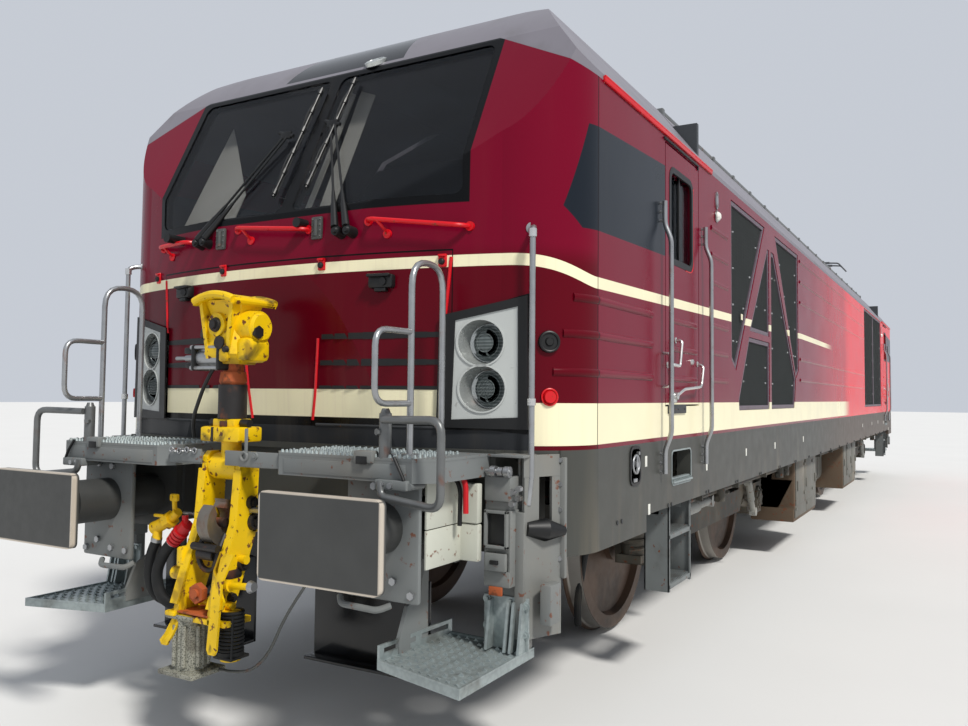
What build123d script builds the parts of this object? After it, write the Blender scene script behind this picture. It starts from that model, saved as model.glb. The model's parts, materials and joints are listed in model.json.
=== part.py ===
from build123d import *
import os

# Four-axle dual-mode locomotive with a cab at each end.
# Millimetres. +X towards cab 1, +Y to its left side, +Z up, Z = 0 at the flange bottoms.
# Heights written as RAIL + h are h above the top of the rail.

RAIL = 28.0

# Whole vehicle
OVER_BUFFERS = 18980.0
BODY_HALF_WIDTH = 1506.0
WALL = 60.0
SEAM = 0.4

# Body levels
SKIRT_DEEP_Z = RAIL + 890.0
SILL_Z = RAIL + 980.0
SLAB_Z = RAIL + 1300.0
DECK_Z = RAIL + 1360.0
FLOOR_Z = RAIL + 1560.0
CAB_FLOOR_Z = RAIL + 1550.0
STRIPE_Z = RAIL + 2240.0
GUTTER_Z = RAIL + 3140.0
SHOULDER_Z = RAIL + 3560.0
ROOF_Z = RAIL + 3740.0

# Cab
CAB_BACK_X = 6350.0
CORNER_X = 8270.0
NOSE_X = 8800.0
NOSE_FOOT_X = 8740.0
SCREEN_FOOT_X = 8765.0
SCREEN_FOOT_Z = RAIL + 2515.0
SCREEN_HEAD_X = 8355.0
SCREEN_HEAD_Z = RAIL + 3360.0
CAB_ROOF_X = 7650.0
ROOF_HALF_FLAT = 620.0
SHOULDER_Y = 1180.0
BROW_HALF = 1010.0

# Windscreen panes
PANE_INNER_Y = 36.0
PANE_OUTER_Y = 1000.0
PANE_FOOT_Z = SCREEN_FOOT_Z + 10.0
PANE_HEAD_Z = SCREEN_HEAD_Z - 25.0
PANE_RADIUS = 45.0
GLASS = 20.0
GLASS_SET = 6.0

# Cab doors
DOOR_BACK_X = 6600.0
DOOR_FRONT_X = 7270.0
DOOR_HEAD_Z = RAIL + 3060.0
DOOR_FREE_GAP = 12.0
DOOR_GAP = 10.0
DOOR_WINDOW_X = (6742.0, 7180.0)
DOOR_WINDOW_Z = (RAIL + 2400.0, RAIL + 2930.0)
HINGE_PIN_R = 12.0
PIN_FIT = 0.4
HINGE_DROP = 21.0

# Headlamps
LAMP_Y = (905.0, 1245.0)
LAMP_Z = (RAIL + 1470.0, RAIL + 1950.0)
LAMP_BOWL_R = 105.0
LAMP_BACK_X = 8480.0

# Buffers and coupling
BUFFER_Z = RAIL + 1050.0
BUFFER_Y = 875.0
BUFFER_HEAD = (590.0, 345.0)
BUFFER_HEAD_T = 36.0
SLEEVE_R = 108.0
PLUNGER_R = 88.0
BUFFER_BASE_X = 8800.0
HOOK_Z = BUFFER_Z
PLATFORM_Z = (RAIL + 1250.0, RAIL + 1330.0)

# Coupler arm that stands upright when it isn't used
FOLD_X = 9080.0
FOLD_Z = RAIL + 1260.0
FOLD_PIN_R = 26.0
ARM_R = 46.0
ARM_HEAD_Z = RAIL + 2035.0
FRAME_Y = (92.0, 122.0)
FRAME_FOOT_Z = RAIL + 560.0
FOLD_GAP = 6.0

# Running gear
PIVOT_X = 4750.0
AXLE_HALF = 1500.0
WHEEL_R = 625.0
FLANGE_H = RAIL
WHEEL_Y = (680.0, 815.0)
AXLE_R = 92.0
JOURNAL_R = 76.0
JOURNAL_FIT = 0.5
AXLE_END_Y = 1120.0
AXLE_Z = WHEEL_R + RAIL
BEAM_Y = (950.0, 1130.0)
KING_PIN_R = 120.0
KING_PIN_FIT = 0.5
SPRING_AIR = 6.0

# Engine and tank
ENGINE = ((-1500.0, 1900.0), (-650.0, 650.0), (DECK_Z, RAIL + 2950.0))
TANK = ((-2350.0, 2250.0), (-1330.0, 1330.0), (RAIL + 330.0, SLAB_Z))

# Pantograph
PANTO_X = -5050.0
PANTO_BASE_Z = ROOF_Z + 210.0
PANTO_TUBE_R = 38.0

END_FACE_X = OVER_BUFFERS / 2


def block(x, y, z):
    """Box from three (low, high) pairs."""
    return Pos((x[0] + x[1]) / 2, (y[0] + y[1]) / 2, (z[0] + z[1]) / 2) * Box(
        x[1] - x[0], y[1] - y[0], z[1] - z[0])


def rod(start, end, radius):
    """Round bar between two points."""
    a, b = Vector(*start), Vector(*end)
    along = b - a
    plane = Plane(origin=a, z_dir=along)
    return extrude(plane * Circle(radius), amount=along.length)


def bent_tube(points, radius, bend):
    """Round tube along straight runs with rounded corners."""
    path = FilletPolyline(*points, radius=bend)
    start = Plane(origin=path @ 0, z_dir=path % 0)
    return sweep(start * Circle(radius), path=path)


def prism_y(points, y0, y1):
    """Side outline of (x, z) points pushed from y0 to y1."""
    face = make_face(Polyline(*[(x, 0, z) for x, z in points], close=True))
    return Pos(0, y0, 0) * extrude(face, amount=y1 - y0, dir=(0, 1, 0))


def prism_x(points, x0, x1):
    """Cross-section of (y, z) points pushed from x0 to x1."""
    face = make_face(Polyline(*[(0, y, z) for y, z in points], close=True))
    return Pos(x0, 0, 0) * extrude(face, amount=x1 - x0, dir=(1, 0, 0))


def rear(shape):
    """The same piece at cab 2."""
    return Rot(0, 0, 180) * shape


def save(node, *solids):
    pieces = []
    for shape in solids:
        pieces.extend(shape.solids())
    result = pieces[0] if len(pieces) == 1 else Compound(children=pieces)
    export_step(result, "parts/" + node + ".step")


def cab_form(inset, floor_z):
    """Closed form of one cab, its skin set in by the given amount."""
    top = ROOF_Z - inset
    side_edge = [
        Line((CAB_BACK_X, 0, floor_z), (NOSE_FOOT_X - inset, 0, floor_z)),
        Line((NOSE_FOOT_X - inset, 0, floor_z), (NOSE_X - inset, 0, STRIPE_Z)),
        Line((NOSE_X - inset, 0, STRIPE_Z), (SCREEN_FOOT_X - inset, 0, SCREEN_FOOT_Z)),
        Line((SCREEN_FOOT_X - inset, 0, SCREEN_FOOT_Z),
             (SCREEN_HEAD_X - inset, 0, SCREEN_HEAD_Z - inset / 2)),
        ThreePointArc((SCREEN_HEAD_X - inset, 0, SCREEN_HEAD_Z - inset / 2),
                      (8090.0 - inset * 0.6, 0, RAIL + 3600.0 - inset * 0.8),
                      (CAB_ROOF_X, 0, top)),
        Line((CAB_ROOF_X, 0, top), (CAB_BACK_X, 0, top)),
        Line((CAB_BACK_X, 0, top), (CAB_BACK_X, 0, floor_z)),
    ]
    half = BODY_HALF_WIDTH
    side = Pos(0, -half, 0) * extrude(make_face(side_edge), amount=2 * half, dir=(0, 1, 0))
    wall_y = half - inset
    corner = (8625.0 - inset * 0.8, 1180.0 - inset * 0.7)
    bulge = (8520.0 - inset * 0.75, 1390.0 - inset * 0.75)
    plan_edge = [
        Line((CAB_BACK_X, -wall_y), (CAB_BACK_X, wall_y)),
        Line((CAB_BACK_X, wall_y), (CORNER_X, wall_y)),
        ThreePointArc((CORNER_X, wall_y), bulge, corner),
        ThreePointArc(corner, (NOSE_X - inset, 0), (corner[0], -corner[1])),
        ThreePointArc((corner[0], -corner[1]), (bulge[0], -bulge[1]), (CORNER_X, -wall_y)),
        Line((CORNER_X, -wall_y), (CAB_BACK_X, -wall_y)),
    ]
    plan = Pos(0, 0, floor_z) * extrude(make_face(plan_edge), amount=top - floor_z, dir=(0, 0, 1))
    cross = prism_x(cross_outline(inset, floor_z), CAB_BACK_X, NOSE_X)
    return side & plan & cross


def cross_outline(inset, floor_z):
    """Body cross-section from one side over the roof to the other."""
    wall_y = BODY_HALF_WIDTH - inset
    right = [(wall_y, floor_z), (wall_y, GUTTER_Z), (SHOULDER_Y - inset * 0.5, SHOULDER_Z - inset),
             (ROOF_HALF_FLAT, ROOF_Z - inset)]
    return right + [(-y, z) for y, z in reversed(right)]


def roof_zone(inset):
    """Space above the line where the painted shell meets the grey roof."""
    edge = GUTTER_Z - 30.0 + inset
    brow = SCREEN_HEAD_Z + 10.0 + inset
    outline = [(1600.0, edge), (1506.0, edge), (BROW_HALF, brow), (-BROW_HALF, brow),
               (-1506.0, edge), (-1600.0, edge), (-1600.0, 4200.0), (1600.0, 4200.0)]
    return prism_x(outline, CAB_BACK_X - 10.0, NOSE_X + 10.0)


def pane_prism(side, grow):
    """One windscreen opening seen from the front, pushed through the nose."""
    inner, outer = PANE_INNER_Y - grow, PANE_OUTER_Y + grow
    foot, head = PANE_FOOT_Z - grow, PANE_HEAD_Z + grow
    centre = (inner + outer) / 2 * side
    face = Plane(origin=(7900.0, centre, (foot + head) / 2), x_dir=(0, 1, 0), z_dir=(1, 0, 0)) * (
        RectangleRounded(outer - inner, head - foot, PANE_RADIUS))
    return extrude(face, amount=1000.0)


def lamp_prism(side, clear):
    """Recess of one headlamp unit."""
    y0, y1 = LAMP_Y[0] + clear, LAMP_Y[1] - clear
    if side < 0:
        y0, y1 = -y1, -y0
    return block((LAMP_BACK_X, NOSE_X + 50.0), (y0, y1), (LAMP_Z[0] + clear, LAMP_Z[1] - clear))


def door_box(side, clear_back, clear, y_in, y_out):
    y0, y1 = (y_in, y_out) if side > 0 else (-y_out, -y_in)
    return block((DOOR_BACK_X - clear_back, DOOR_FRONT_X + clear), (y0, y1),
                 (FLOOR_Z - clear, DOOR_HEAD_Z + clear))


# Cab shells, roofs, glass and lamps at cab 1, later turned round for cab 2
skin = cab_form(0.0, DECK_Z)
hollow = cab_form(WALL, CAB_FLOOR_Z)
shell = skin - hollow
shell -= block((CAB_BACK_X - 1.0, CAB_BACK_X + WALL), (-1446.0, 1446.0), (CAB_FLOOR_Z, ROOF_Z - WALL))
for side in (1, -1):
    shell -= pane_prism(side, 0.0)
    shell -= lamp_prism(side, 0.0)
    shell -= door_box(side, DOOR_FREE_GAP, DOOR_GAP, 1400.0, 1600.0)
cab_shell = shell - roof_zone(0.0)
cab_roof = shell & roof_zone(SEAM)

glass_layer = cab_form(GLASS_SET, DECK_Z) - cab_form(GLASS_SET + GLASS, DECK_Z)
windscreen = [glass_layer & pane_prism(side, -SEAM) for side in (1, -1)]

lamps = []
for side in (1, -1):
    unit = lamp_prism(side, SEAM) & cab_form(14.0, DECK_Z)
    for z in (LAMP_Z[0] + 125.0, LAMP_Z[1] - 125.0):
        y = side * (LAMP_Y[0] + LAMP_Y[1]) / 2
        bowl = Plane(origin=(8520.0, y, z), z_dir=(1, 0, 0)) * Circle(LAMP_BOWL_R)
        unit -= extrude(bowl, amount=400.0)
    lamps.append(unit)


def door(side):
    """Cab door leaf with its window, hinge arms and pins, on side +1 or -1."""
    inner = BODY_HALF_WIDTH - WALL
    leaf = block((DOOR_BACK_X, DOOR_FRONT_X), (inner, BODY_HALF_WIDTH), (FLOOR_Z, DOOR_HEAD_Z))
    leaf -= block(DOOR_WINDOW_X, (inner - 1, BODY_HALF_WIDTH + 1), DOOR_WINDOW_Z)
    pin_x, pin_y = hinge_axis()
    for z in HINGE_Z:
        for low in (z - 90.0, z + 50.0):
            arm = block((DOOR_FRONT_X - 60.0, DOOR_FRONT_X - 6.0), (pin_y - 16.0, inner),
                        (low, low + 40.0))
            arm += block((DOOR_FRONT_X - 30.0, pin_x), (pin_y - 16.0, pin_y + 16.0), (low, low + 40.0))
            arm += rod((pin_x, pin_y, low), (pin_x, pin_y, low + 40.0), 16.0)
            leaf += arm
        leaf += rod((pin_x, pin_y, z - 60.0), (pin_x, pin_y, z + 60.0), HINGE_PIN_R)
    return leaf if side > 0 else mirror(leaf, Plane.XZ)


def hinge_axis():
    return DOOR_FRONT_X + 24.0, BODY_HALF_WIDTH - WALL - HINGE_DROP


HINGE_Z = (FLOOR_Z + 350.0, DOOR_HEAD_Z - 300.0)


def hinge_lugs(side):
    """Lugs on the cab wall that the door's pins turn in."""
    pin_x, pin_y = hinge_axis()
    inner = BODY_HALF_WIDTH - WALL
    lugs = []
    for z in HINGE_Z:
        lug = block((DOOR_FRONT_X + DOOR_GAP + 2.0, pin_x + 32.0), (pin_y - 20.0, inner), (z - 44.0, z + 44.0))
        lug += rod((pin_x, pin_y, z - 44.0), (pin_x, pin_y, z + 44.0), 19.0)
        lug -= rod((pin_x, pin_y, z - 45.0), (pin_x, pin_y, z + 45.0), HINGE_PIN_R + PIN_FIT)
        lugs.append(lug if side > 0 else mirror(lug, Plane.XZ))
    return lugs


for side in (1, -1):
    for lug in hinge_lugs(side):
        cab_shell += lug

doors = {side: door(side) for side in (1, -1)}


def cab_interior():
    """Desk, seat, floor mat and rear bulkhead that show through the glass."""
    bulkhead = block((CAB_BACK_X, CAB_BACK_X + 40.0), (-1440.0, 1440.0), (CAB_FLOOR_Z, RAIL + 3440.0))
    desk = prism_y([(8030.0, CAB_FLOOR_Z), (8470.0, CAB_FLOOR_Z), (8470.0, RAIL + 2400.0), (8240.0, RAIL + 2470.0),
                    (7880.0, RAIL + 2350.0), (7860.0, RAIL + 2290.0), (8030.0, RAIL + 2270.0)],
                   -1050.0, 1050.0)
    seat = block((7180.0, 7640.0), (190.0, 680.0), (RAIL + 2010.0, RAIL + 2110.0))
    seat += prism_y([(7130.0, RAIL + 2080.0), (7230.0, RAIL + 2080.0), (7150.0, RAIL + 2790.0),
                     (7060.0, RAIL + 2790.0)], 200.0, 670.0)
    seat += rod((7400.0, 435.0, CAB_FLOOR_Z), (7400.0, 435.0, RAIL + 2020.0), 60.0)
    return bulkhead, desk, seat


interior = cab_interior()


# Underframe: slab, side skirts, headstocks, king pins and step openings
def underframe():
    slab = block((-8500.0, 8500.0), (-1420.0, 1420.0), (SLAB_Z, DECK_Z))
    for side in (1, -1):
        y = sorted((side * 1420.0, side * BODY_HALF_WIDTH))
        slab += block((-CORNER_X, CORNER_X), y, (SILL_Z, DECK_Z))
    skirt_form = cab_form(0.0, SKIRT_DEEP_Z)
    for end in (1, -1):
        nose = block((8200.0, 8700.0), (-1200.0, 1200.0), (SKIRT_DEEP_Z + 30.0, DECK_Z))
        apron = (cab_form(0.0, PLATFORM_Z[1])
                 & block((8000.0, 8900.0), (-1510.0, 1510.0), (PLATFORM_Z[1], DECK_Z)))
        for side in (1, -1):
            y = sorted((side * 1420.0, side * BODY_HALF_WIDTH))
            nose += block((7600.0, 8660.0), y, (SKIRT_DEEP_Z, PLATFORM_Z[1])) & skirt_form
        pin = rod((PIVOT_X, 0, RAIL + 520.0), (PIVOT_X, 0, SLAB_Z + 1.0), KING_PIN_R)
        part = nose + apron + pin
        slab += part if end > 0 else rear(part)
    foothold = block((6780.0, 7160.0), (-1600.0, 1600.0), (RAIL + 1100.0, RAIL + 1290.0))
    foothold -= block((6700.0, 7200.0), (-1250.0, 1250.0), (RAIL + 1000.0, RAIL + 1400.0))
    slab -= foothold
    slab -= rear(foothold)
    return slab


# Sides: one wall with its ribs and grille openings, the other the same turned round
GRILLE_X = ((4520.0, 5740.0), (3020.0, 4380.0), (-5900.0, -3250.0))
GRILLE_Z = (RAIL + 1560.0, RAIL + 3030.0)


def side_wall():
    wall = block((-CAB_BACK_X + SEAM, CAB_BACK_X - SEAM), (BODY_HALF_WIDTH - WALL, BODY_HALF_WIDTH),
                 (DECK_Z, GUTTER_Z - 30.0))
    for x in GRILLE_X:
        wall -= block(x, (1400.0, 1600.0), GRILLE_Z)
    return wall


def side_grilles():
    panels = []
    for x in GRILLE_X:
        panel = block((x[0] + SEAM, x[1] - SEAM), (1456.0, 1490.0), (GRILLE_Z[0] + SEAM, GRILLE_Z[1] - SEAM))
        panels.append(panel)
    return panels


def roof_centre():
    outer = prism_x(cross_outline(0.0, GUTTER_Z - 29.6), -CAB_BACK_X + SEAM, CAB_BACK_X - SEAM)
    inner = prism_x(cross_outline(WALL, GUTTER_Z - 30.0), -CAB_BACK_X, CAB_BACK_X)
    return outer - inner


# Buffers: head, plunger, sleeve and base plate, one solid each side
def buffer(side):
    y = side * BUFFER_Y
    head = block((END_FACE_X - BUFFER_HEAD_T, END_FACE_X), (y - BUFFER_HEAD[0] / 2, y + BUFFER_HEAD[0] / 2),
                 (BUFFER_Z - BUFFER_HEAD[1] / 2, BUFFER_Z + BUFFER_HEAD[1] / 2))
    head = fillet(head.edges().filter_by(Axis.X), radius=28.0)
    body = rod((END_FACE_X - 400.0, y, BUFFER_Z), (END_FACE_X - BUFFER_HEAD_T + 1.0, y, BUFFER_Z), PLUNGER_R)
    body += rod((BUFFER_BASE_X, y, BUFFER_Z), (END_FACE_X - 180.0, y, BUFFER_Z), SLEEVE_R)
    base = block((BUFFER_BASE_X - 30.0, BUFFER_BASE_X + 10.0), (y - 190.0, y + 190.0),
                 (BUFFER_Z - 170.0, BUFFER_Z + 170.0))
    frame_plate = block((8700.0, BUFFER_BASE_X - 30.0), (y - 210.0, y + 210.0),
                        (SKIRT_DEEP_Z + 30.0, PLATFORM_Z[0]))
    return head + body + base + frame_plate


# Coupler arm: hinged at its foot between the frame's two cheeks
def coupler_arm():
    eye = rod((FOLD_X, -FRAME_Y[0] + FOLD_GAP, FOLD_Z), (FOLD_X, FRAME_Y[0] - FOLD_GAP, FOLD_Z), 62.0)
    shaft = rod((FOLD_X, 0, FOLD_Z), (FOLD_X, 0, RAIL + 1700.0), ARM_R)
    collar = rod((FOLD_X, 0, RAIL + 1400.0), (FOLD_X, 0, RAIL + 1480.0), 74.0)
    sleeve = rod((FOLD_X, 0, RAIL + 1480.0), (FOLD_X, 0, RAIL + 1570.0), 60.0)
    head = block((FOLD_X - 90.0, FOLD_X + 90.0), (-110.0, 110.0), (RAIL + 1690.0, RAIL + 1940.0))
    head += block((FOLD_X - 130.0, FOLD_X + 130.0), (-150.0, 150.0), (RAIL + 1990.0, ARM_HEAD_Z))
    head += block((FOLD_X - 60.0, FOLD_X + 60.0), (-80.0, 80.0), (RAIL + 1930.0, RAIL + 2000.0))
    motor = rod((FOLD_X + 10.0, -250.0, RAIL + 1740.0), (FOLD_X + 10.0, -100.0, RAIL + 1740.0), 45.0)
    arm = eye + shaft + collar + sleeve + head + motor
    return arm - rod((FOLD_X, -200.0, FOLD_Z), (FOLD_X, 200.0, FOLD_Z), FOLD_PIN_R + PIN_FIT)


def coupler_frame():
    cheek = prism_y([(FOLD_X - 70.0, FOLD_Z + 70.0), (FOLD_X + 60.0, FOLD_Z + 70.0), (FOLD_X + 60.0, RAIL + 900.0),
                     (FOLD_X + 20.0, FRAME_FOOT_Z), (FOLD_X - 110.0, FRAME_FOOT_Z),
                     (FOLD_X - 110.0, RAIL + 900.0), (FOLD_X - 70.0, RAIL + 1000.0)], FRAME_Y[0], FRAME_Y[1])
    frame = cheek + mirror(cheek, Plane.XZ)
    frame += rod((FOLD_X, -FRAME_Y[1], FOLD_Z), (FOLD_X, FRAME_Y[1], FOLD_Z), FOLD_PIN_R)
    frame += rod((FOLD_X - 40.0, -FRAME_Y[1], RAIL + 640.0), (FOLD_X - 40.0, FRAME_Y[1], RAIL + 640.0), 30.0)
    frame += rod((FOLD_X - 40.0, 0, RAIL + 330.0), (FOLD_X - 40.0, 0, RAIL + 640.0), 75.0)
    for side in (1, -1):
        y = sorted((side * FRAME_Y[0], side * FRAME_Y[1]))
        frame += block((8700.0, FOLD_X - 100.0), y, (RAIL + 880.0, RAIL + 960.0))
    return frame


def draw_hook():
    shank = block((8700.0, 9120.0), (-38.0, 38.0), (HOOK_Z - 60.0, HOOK_Z + 60.0))
    nose = block((9090.0, 9190.0), (-38.0, 38.0), (HOOK_Z - 90.0, HOOK_Z + 20.0))
    return shank + nose


# End platform: two decks above the buffers and the bars to the coupler slot
def end_platform():
    decks = []
    for side in (1, -1):
        y = sorted((side * 330.0, side * 1060.0))
        deck = block((8700.0, 9180.0), y, PLATFORM_Z)
        y = sorted((side * 170.0, side * 330.0))
        deck += block((9080.0, 9160.0), y, (RAIL + 1250.0, RAIL + 1330.0))
        decks.append(deck)
    return decks


def grab_rails():
    rails = []
    for side in (1, -1):
        y = side * 985.0
        points = [(9010.0, y, PLATFORM_Z[1]), (9010.0, y, RAIL + 2170.0), (8800.0, y, RAIL + 2170.0),
                  (8800.0, y, PLATFORM_Z[1])]
        rail = bent_tube(points, 17.0, 90.0)
        y2 = side * 760.0
        low = [(9010.0, y - side * 10.0, RAIL + 1500.0), (9010.0, y2, RAIL + 1500.0),
               (9010.0, y2, RAIL + 1880.0), (9010.0, y - side * 10.0, RAIL + 1880.0)]
        rail += bent_tube(low, 17.0, 70.0)
        rails.append(rail)
    return rails


def end_steps():
    steps = []
    for side in (1, -1):
        y = sorted((side * 900.0, side * 1345.0))
        tread = block((8570.0, 9150.0), y, (RAIL + 470.0, RAIL + 510.0))
        y = sorted((side * 1260.0, side * 1300.0))
        tread += block((8670.0, 8790.0), y, (RAIL + 509.0, RAIL + 900.0))
        y = sorted((side * 1200.0, side * 1500.0))
        tread += block((8660.0, 8800.0), y, (RAIL + 650.0, PLATFORM_Z[0]))
        steps.append(tread)
    return steps


def door_steps():
    """Handrails, corner rails and ladders beside the cab doors."""
    pieces = []
    for side in (1, -1):
        for x in (DOOR_FRONT_X + 100.0, DOOR_BACK_X - 70.0):
            y_wall, y_rail = side * BODY_HALF_WIDTH, side * (BODY_HALF_WIDTH + 50.0)
            points = [(x, y_wall, RAIL + 2690.0), (x, y_rail, RAIL + 2690.0), (x, y_rail, RAIL + 1190.0),
                      (x, y_wall, RAIL + 1190.0)]
            pieces.append(bent_tube(points, 14.0, 30.0))
        y = sorted((side * 1330.0, side * 1480.0))
        ladder = block((6690.0, 6715.0), y, (RAIL + 480.0, SILL_Z + 60.0))
        ladder += block((7105.0, 7130.0), y, (RAIL + 480.0, SILL_Z + 60.0))
        y_in = sorted((side * 1330.0, side * 1420.0))
        ladder -= block((6600.0, 7200.0), sorted((side * 1420.0, side * 1600.0)), (SILL_Z, SILL_Z + 100.0))
        for z in (RAIL + 500.0, RAIL + 790.0):
            ladder += block((6700.0, 7120.0), y, (z, z + 30.0))
        ladder += block((6690.0, 7130.0), y_in, (SILL_Z, SILL_Z + 60.0))
        pieces.append(ladder)
    return pieces


def wipers():
    pieces = []
    for y in (-780.0, 150.0):
        pivot = rod((8640.0, y, RAIL + 2440.0), (8840.0, y, RAIL + 2440.0), 24.0)
        pieces.append(pivot - skin)
    return pieces


# Running gear of one bogie about its pivot, placed later
def wheels():
    """Two solid wheels with tapered tread, flange, rim and dished disc."""
    outer, inner = WHEEL_Y[1], WHEEL_Y[0]
    profile = [(AXLE_R, outer + 10.0), (165.0, outer + 10.0), (165.0, outer - 30.0), (520.0, outer - 45.0),
               (540.0, outer), (WHEEL_R - 3.0, outer), (WHEEL_R, inner + 45.0),
               (WHEEL_R + FLANGE_H, inner + 20.0), (WHEEL_R + FLANGE_H, inner + 12.0), (WHEEL_R + 5.0, inner),
               (535.0, inner), (515.0, inner + 40.0), (165.0, inner + 50.0), (165.0, inner - 30.0),
               (AXLE_R, inner - 30.0)]
    pair = []
    for side in (1, -1):
        face = make_face(Polyline(*[(r, side * y, 0) for r, y in profile], close=True))
        pair.append(Pos(0, 0, AXLE_Z) * revolve(face, axis=Axis.Y))
    return pair


def axle():
    """Axle with the wheel seats and the slimmer journals outside them."""
    half = [(0, AXLE_END_Y), (JOURNAL_R, AXLE_END_Y), (JOURNAL_R, 870.0), (AXLE_R, 860.0)]
    profile = half + [(r, -y) for r, y in reversed(half)]
    face = make_face(Polyline(*[(r, y, 0) for r, y in profile], close=True))
    return Pos(0, 0, AXLE_Z) * revolve(face, axis=Axis.Y)


def bogie_frame():
    top = [(1950.0, RAIL + 900.0), (1950.0, RAIL + 850.0), (1150.0, RAIL + 850.0),
           (850.0, RAIL + 560.0), (-850.0, RAIL + 560.0), (-1150.0, RAIL + 850.0),
           (-1950.0, RAIL + 850.0), (-1950.0, RAIL + 900.0), (-1800.0, RAIL + 990.0), (-1150.0, RAIL + 990.0),
           (-800.0, RAIL + 760.0), (800.0, RAIL + 760.0), (1150.0, RAIL + 990.0), (1800.0, RAIL + 990.0)]
    frame = prism_y(top, BEAM_Y[0], BEAM_Y[1]) + prism_y(top, -BEAM_Y[1], -BEAM_Y[0])
    frame += block((-380.0, 380.0), (-BEAM_Y[0] - 10.0, BEAM_Y[0] + 10.0), (RAIL + 570.0, RAIL + 750.0))
    frame -= rod((0, 0, RAIL + 400.0), (0, 0, RAIL + 900.0), KING_PIN_R + KING_PIN_FIT)
    return frame


def running_gear():
    """Axle boxes with primary springs, secondary springs and motors."""
    pieces = []
    for side in (1, -1):
        for end in (1, -1):
            x = end * AXLE_HALF
            y = sorted((side * 878.0, side * 1150.0))
            box = block((x - 170.0, x + 170.0), y, (AXLE_Z - 150.0, AXLE_Z + 150.0))
            box += block((x - 340.0, x + 340.0), sorted((side * 960.0, side * 1120.0)),
                         (AXLE_Z - 110.0, AXLE_Z - 60.0))
            box -= rod((x, side * 860.0, AXLE_Z), (x, side * 1125.0, AXLE_Z), JOURNAL_R + JOURNAL_FIT)
            for dx in (-255.0, 255.0):
                box += rod((x + dx, side * 1040.0, AXLE_Z - 61.0), (x + dx, side * 1040.0, RAIL + 850.0), 80.0)
            pieces.append(box)
        for dx in (-230.0, 230.0):
            pieces.append(rod((dx, side * 1040.0, RAIL + 760.0), (dx, side * 1040.0, SLAB_Z - SPRING_AIR), 130.0))
    for end in (1, -1):
        motor = rod((end * 800.0, -520.0, AXLE_Z), (end * 800.0, 520.0, AXLE_Z), 270.0)
        motor += block(sorted((end * 900.0, end * 1660.0)), (300.0, 520.0), (AXLE_Z - 200.0, AXLE_Z + 200.0))
        motor -= rod((end * AXLE_HALF, -700.0, AXLE_Z), (end * AXLE_HALF, 700.0, AXLE_Z), AXLE_R + 8.0)
        hanger = block(sorted((end * 380.0, end * 560.0)), (-200.0, 200.0), (RAIL + 600.0, RAIL + 720.0))
        pieces.append(motor + hanger)
    return pieces


# Pantograph folded down on its base frame
PANTO_FOOT = (PANTO_X - 950.0, PANTO_BASE_Z + 60.0)
PANTO_KNEE = (PANTO_X + 850.0, PANTO_BASE_Z + 150.0)
PANTO_TOP = (PANTO_X - 900.0, PANTO_BASE_Z + 240.0)


def pantograph_base():
    frame = None
    for side in (1, -1):
        y = sorted((side * 420.0, side * 480.0))
        bar = block((PANTO_X - 1150.0, PANTO_X + 900.0), y, (PANTO_BASE_Z - 60.0, PANTO_BASE_Z))
        frame = bar if frame is None else frame + bar
    for x in (-1150.0, -980.0, 840.0):
        frame += block((PANTO_X + x, PANTO_X + x + 60.0), (-480.0, 480.0), (PANTO_BASE_Z - 60.0, PANTO_BASE_Z))
    for x in (-1100.0, 850.0):
        for side in (1, -1):
            frame += rod((PANTO_X + x, side * 450.0, ROOF_Z), (PANTO_X + x, side * 450.0, PANTO_BASE_Z - 59.0), 55.0)
    for side in (1, -1):
        y = sorted((side * 240.0, side * 270.0))
        cheek = block((PANTO_FOOT[0] - 60.0, PANTO_FOOT[0] + 60.0), y, (PANTO_BASE_Z - 1.0, PANTO_FOOT[1] + 50.0))
        frame += cheek - rod((PANTO_FOOT[0], -300.0, PANTO_FOOT[1]), (PANTO_FOOT[0], 300.0, PANTO_FOOT[1]),
                             30.0 + PIN_FIT)
    return frame


def panto_lower():
    arm = rod((PANTO_FOOT[0], -290.0, PANTO_FOOT[1]), (PANTO_FOOT[0], 290.0, PANTO_FOOT[1]), 30.0)
    arm += rod((PANTO_FOOT[0], 0, PANTO_FOOT[1]), (PANTO_KNEE[0], 0, PANTO_KNEE[1]), PANTO_TUBE_R)
    eye = rod((PANTO_KNEE[0], -60.0, PANTO_KNEE[1]), (PANTO_KNEE[0], 60.0, PANTO_KNEE[1]), 55.0)
    arm = arm + eye
    return arm - rod((PANTO_KNEE[0], -80.0, PANTO_KNEE[1]), (PANTO_KNEE[0], 80.0, PANTO_KNEE[1]), 22.0 + PIN_FIT)


def panto_upper():
    arm = rod((PANTO_KNEE[0], -110.0, PANTO_KNEE[1]), (PANTO_KNEE[0], 110.0, PANTO_KNEE[1]), 22.0)
    for side in (1, -1):
        foot = (PANTO_KNEE[0], side * 95.0, PANTO_KNEE[1])
        top = (PANTO_TOP[0], side * 300.0, PANTO_TOP[1])
        arm += rod(foot, top, 20.0)
        arm += rod((PANTO_KNEE[0], side * 80.0, PANTO_KNEE[1]), (PANTO_KNEE[0], side * 110.0, PANTO_KNEE[1]), 38.0)
    arm += rod((PANTO_TOP[0], -385.0, PANTO_TOP[1]), (PANTO_TOP[0], 385.0, PANTO_TOP[1]), 20.0)
    return arm


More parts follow.
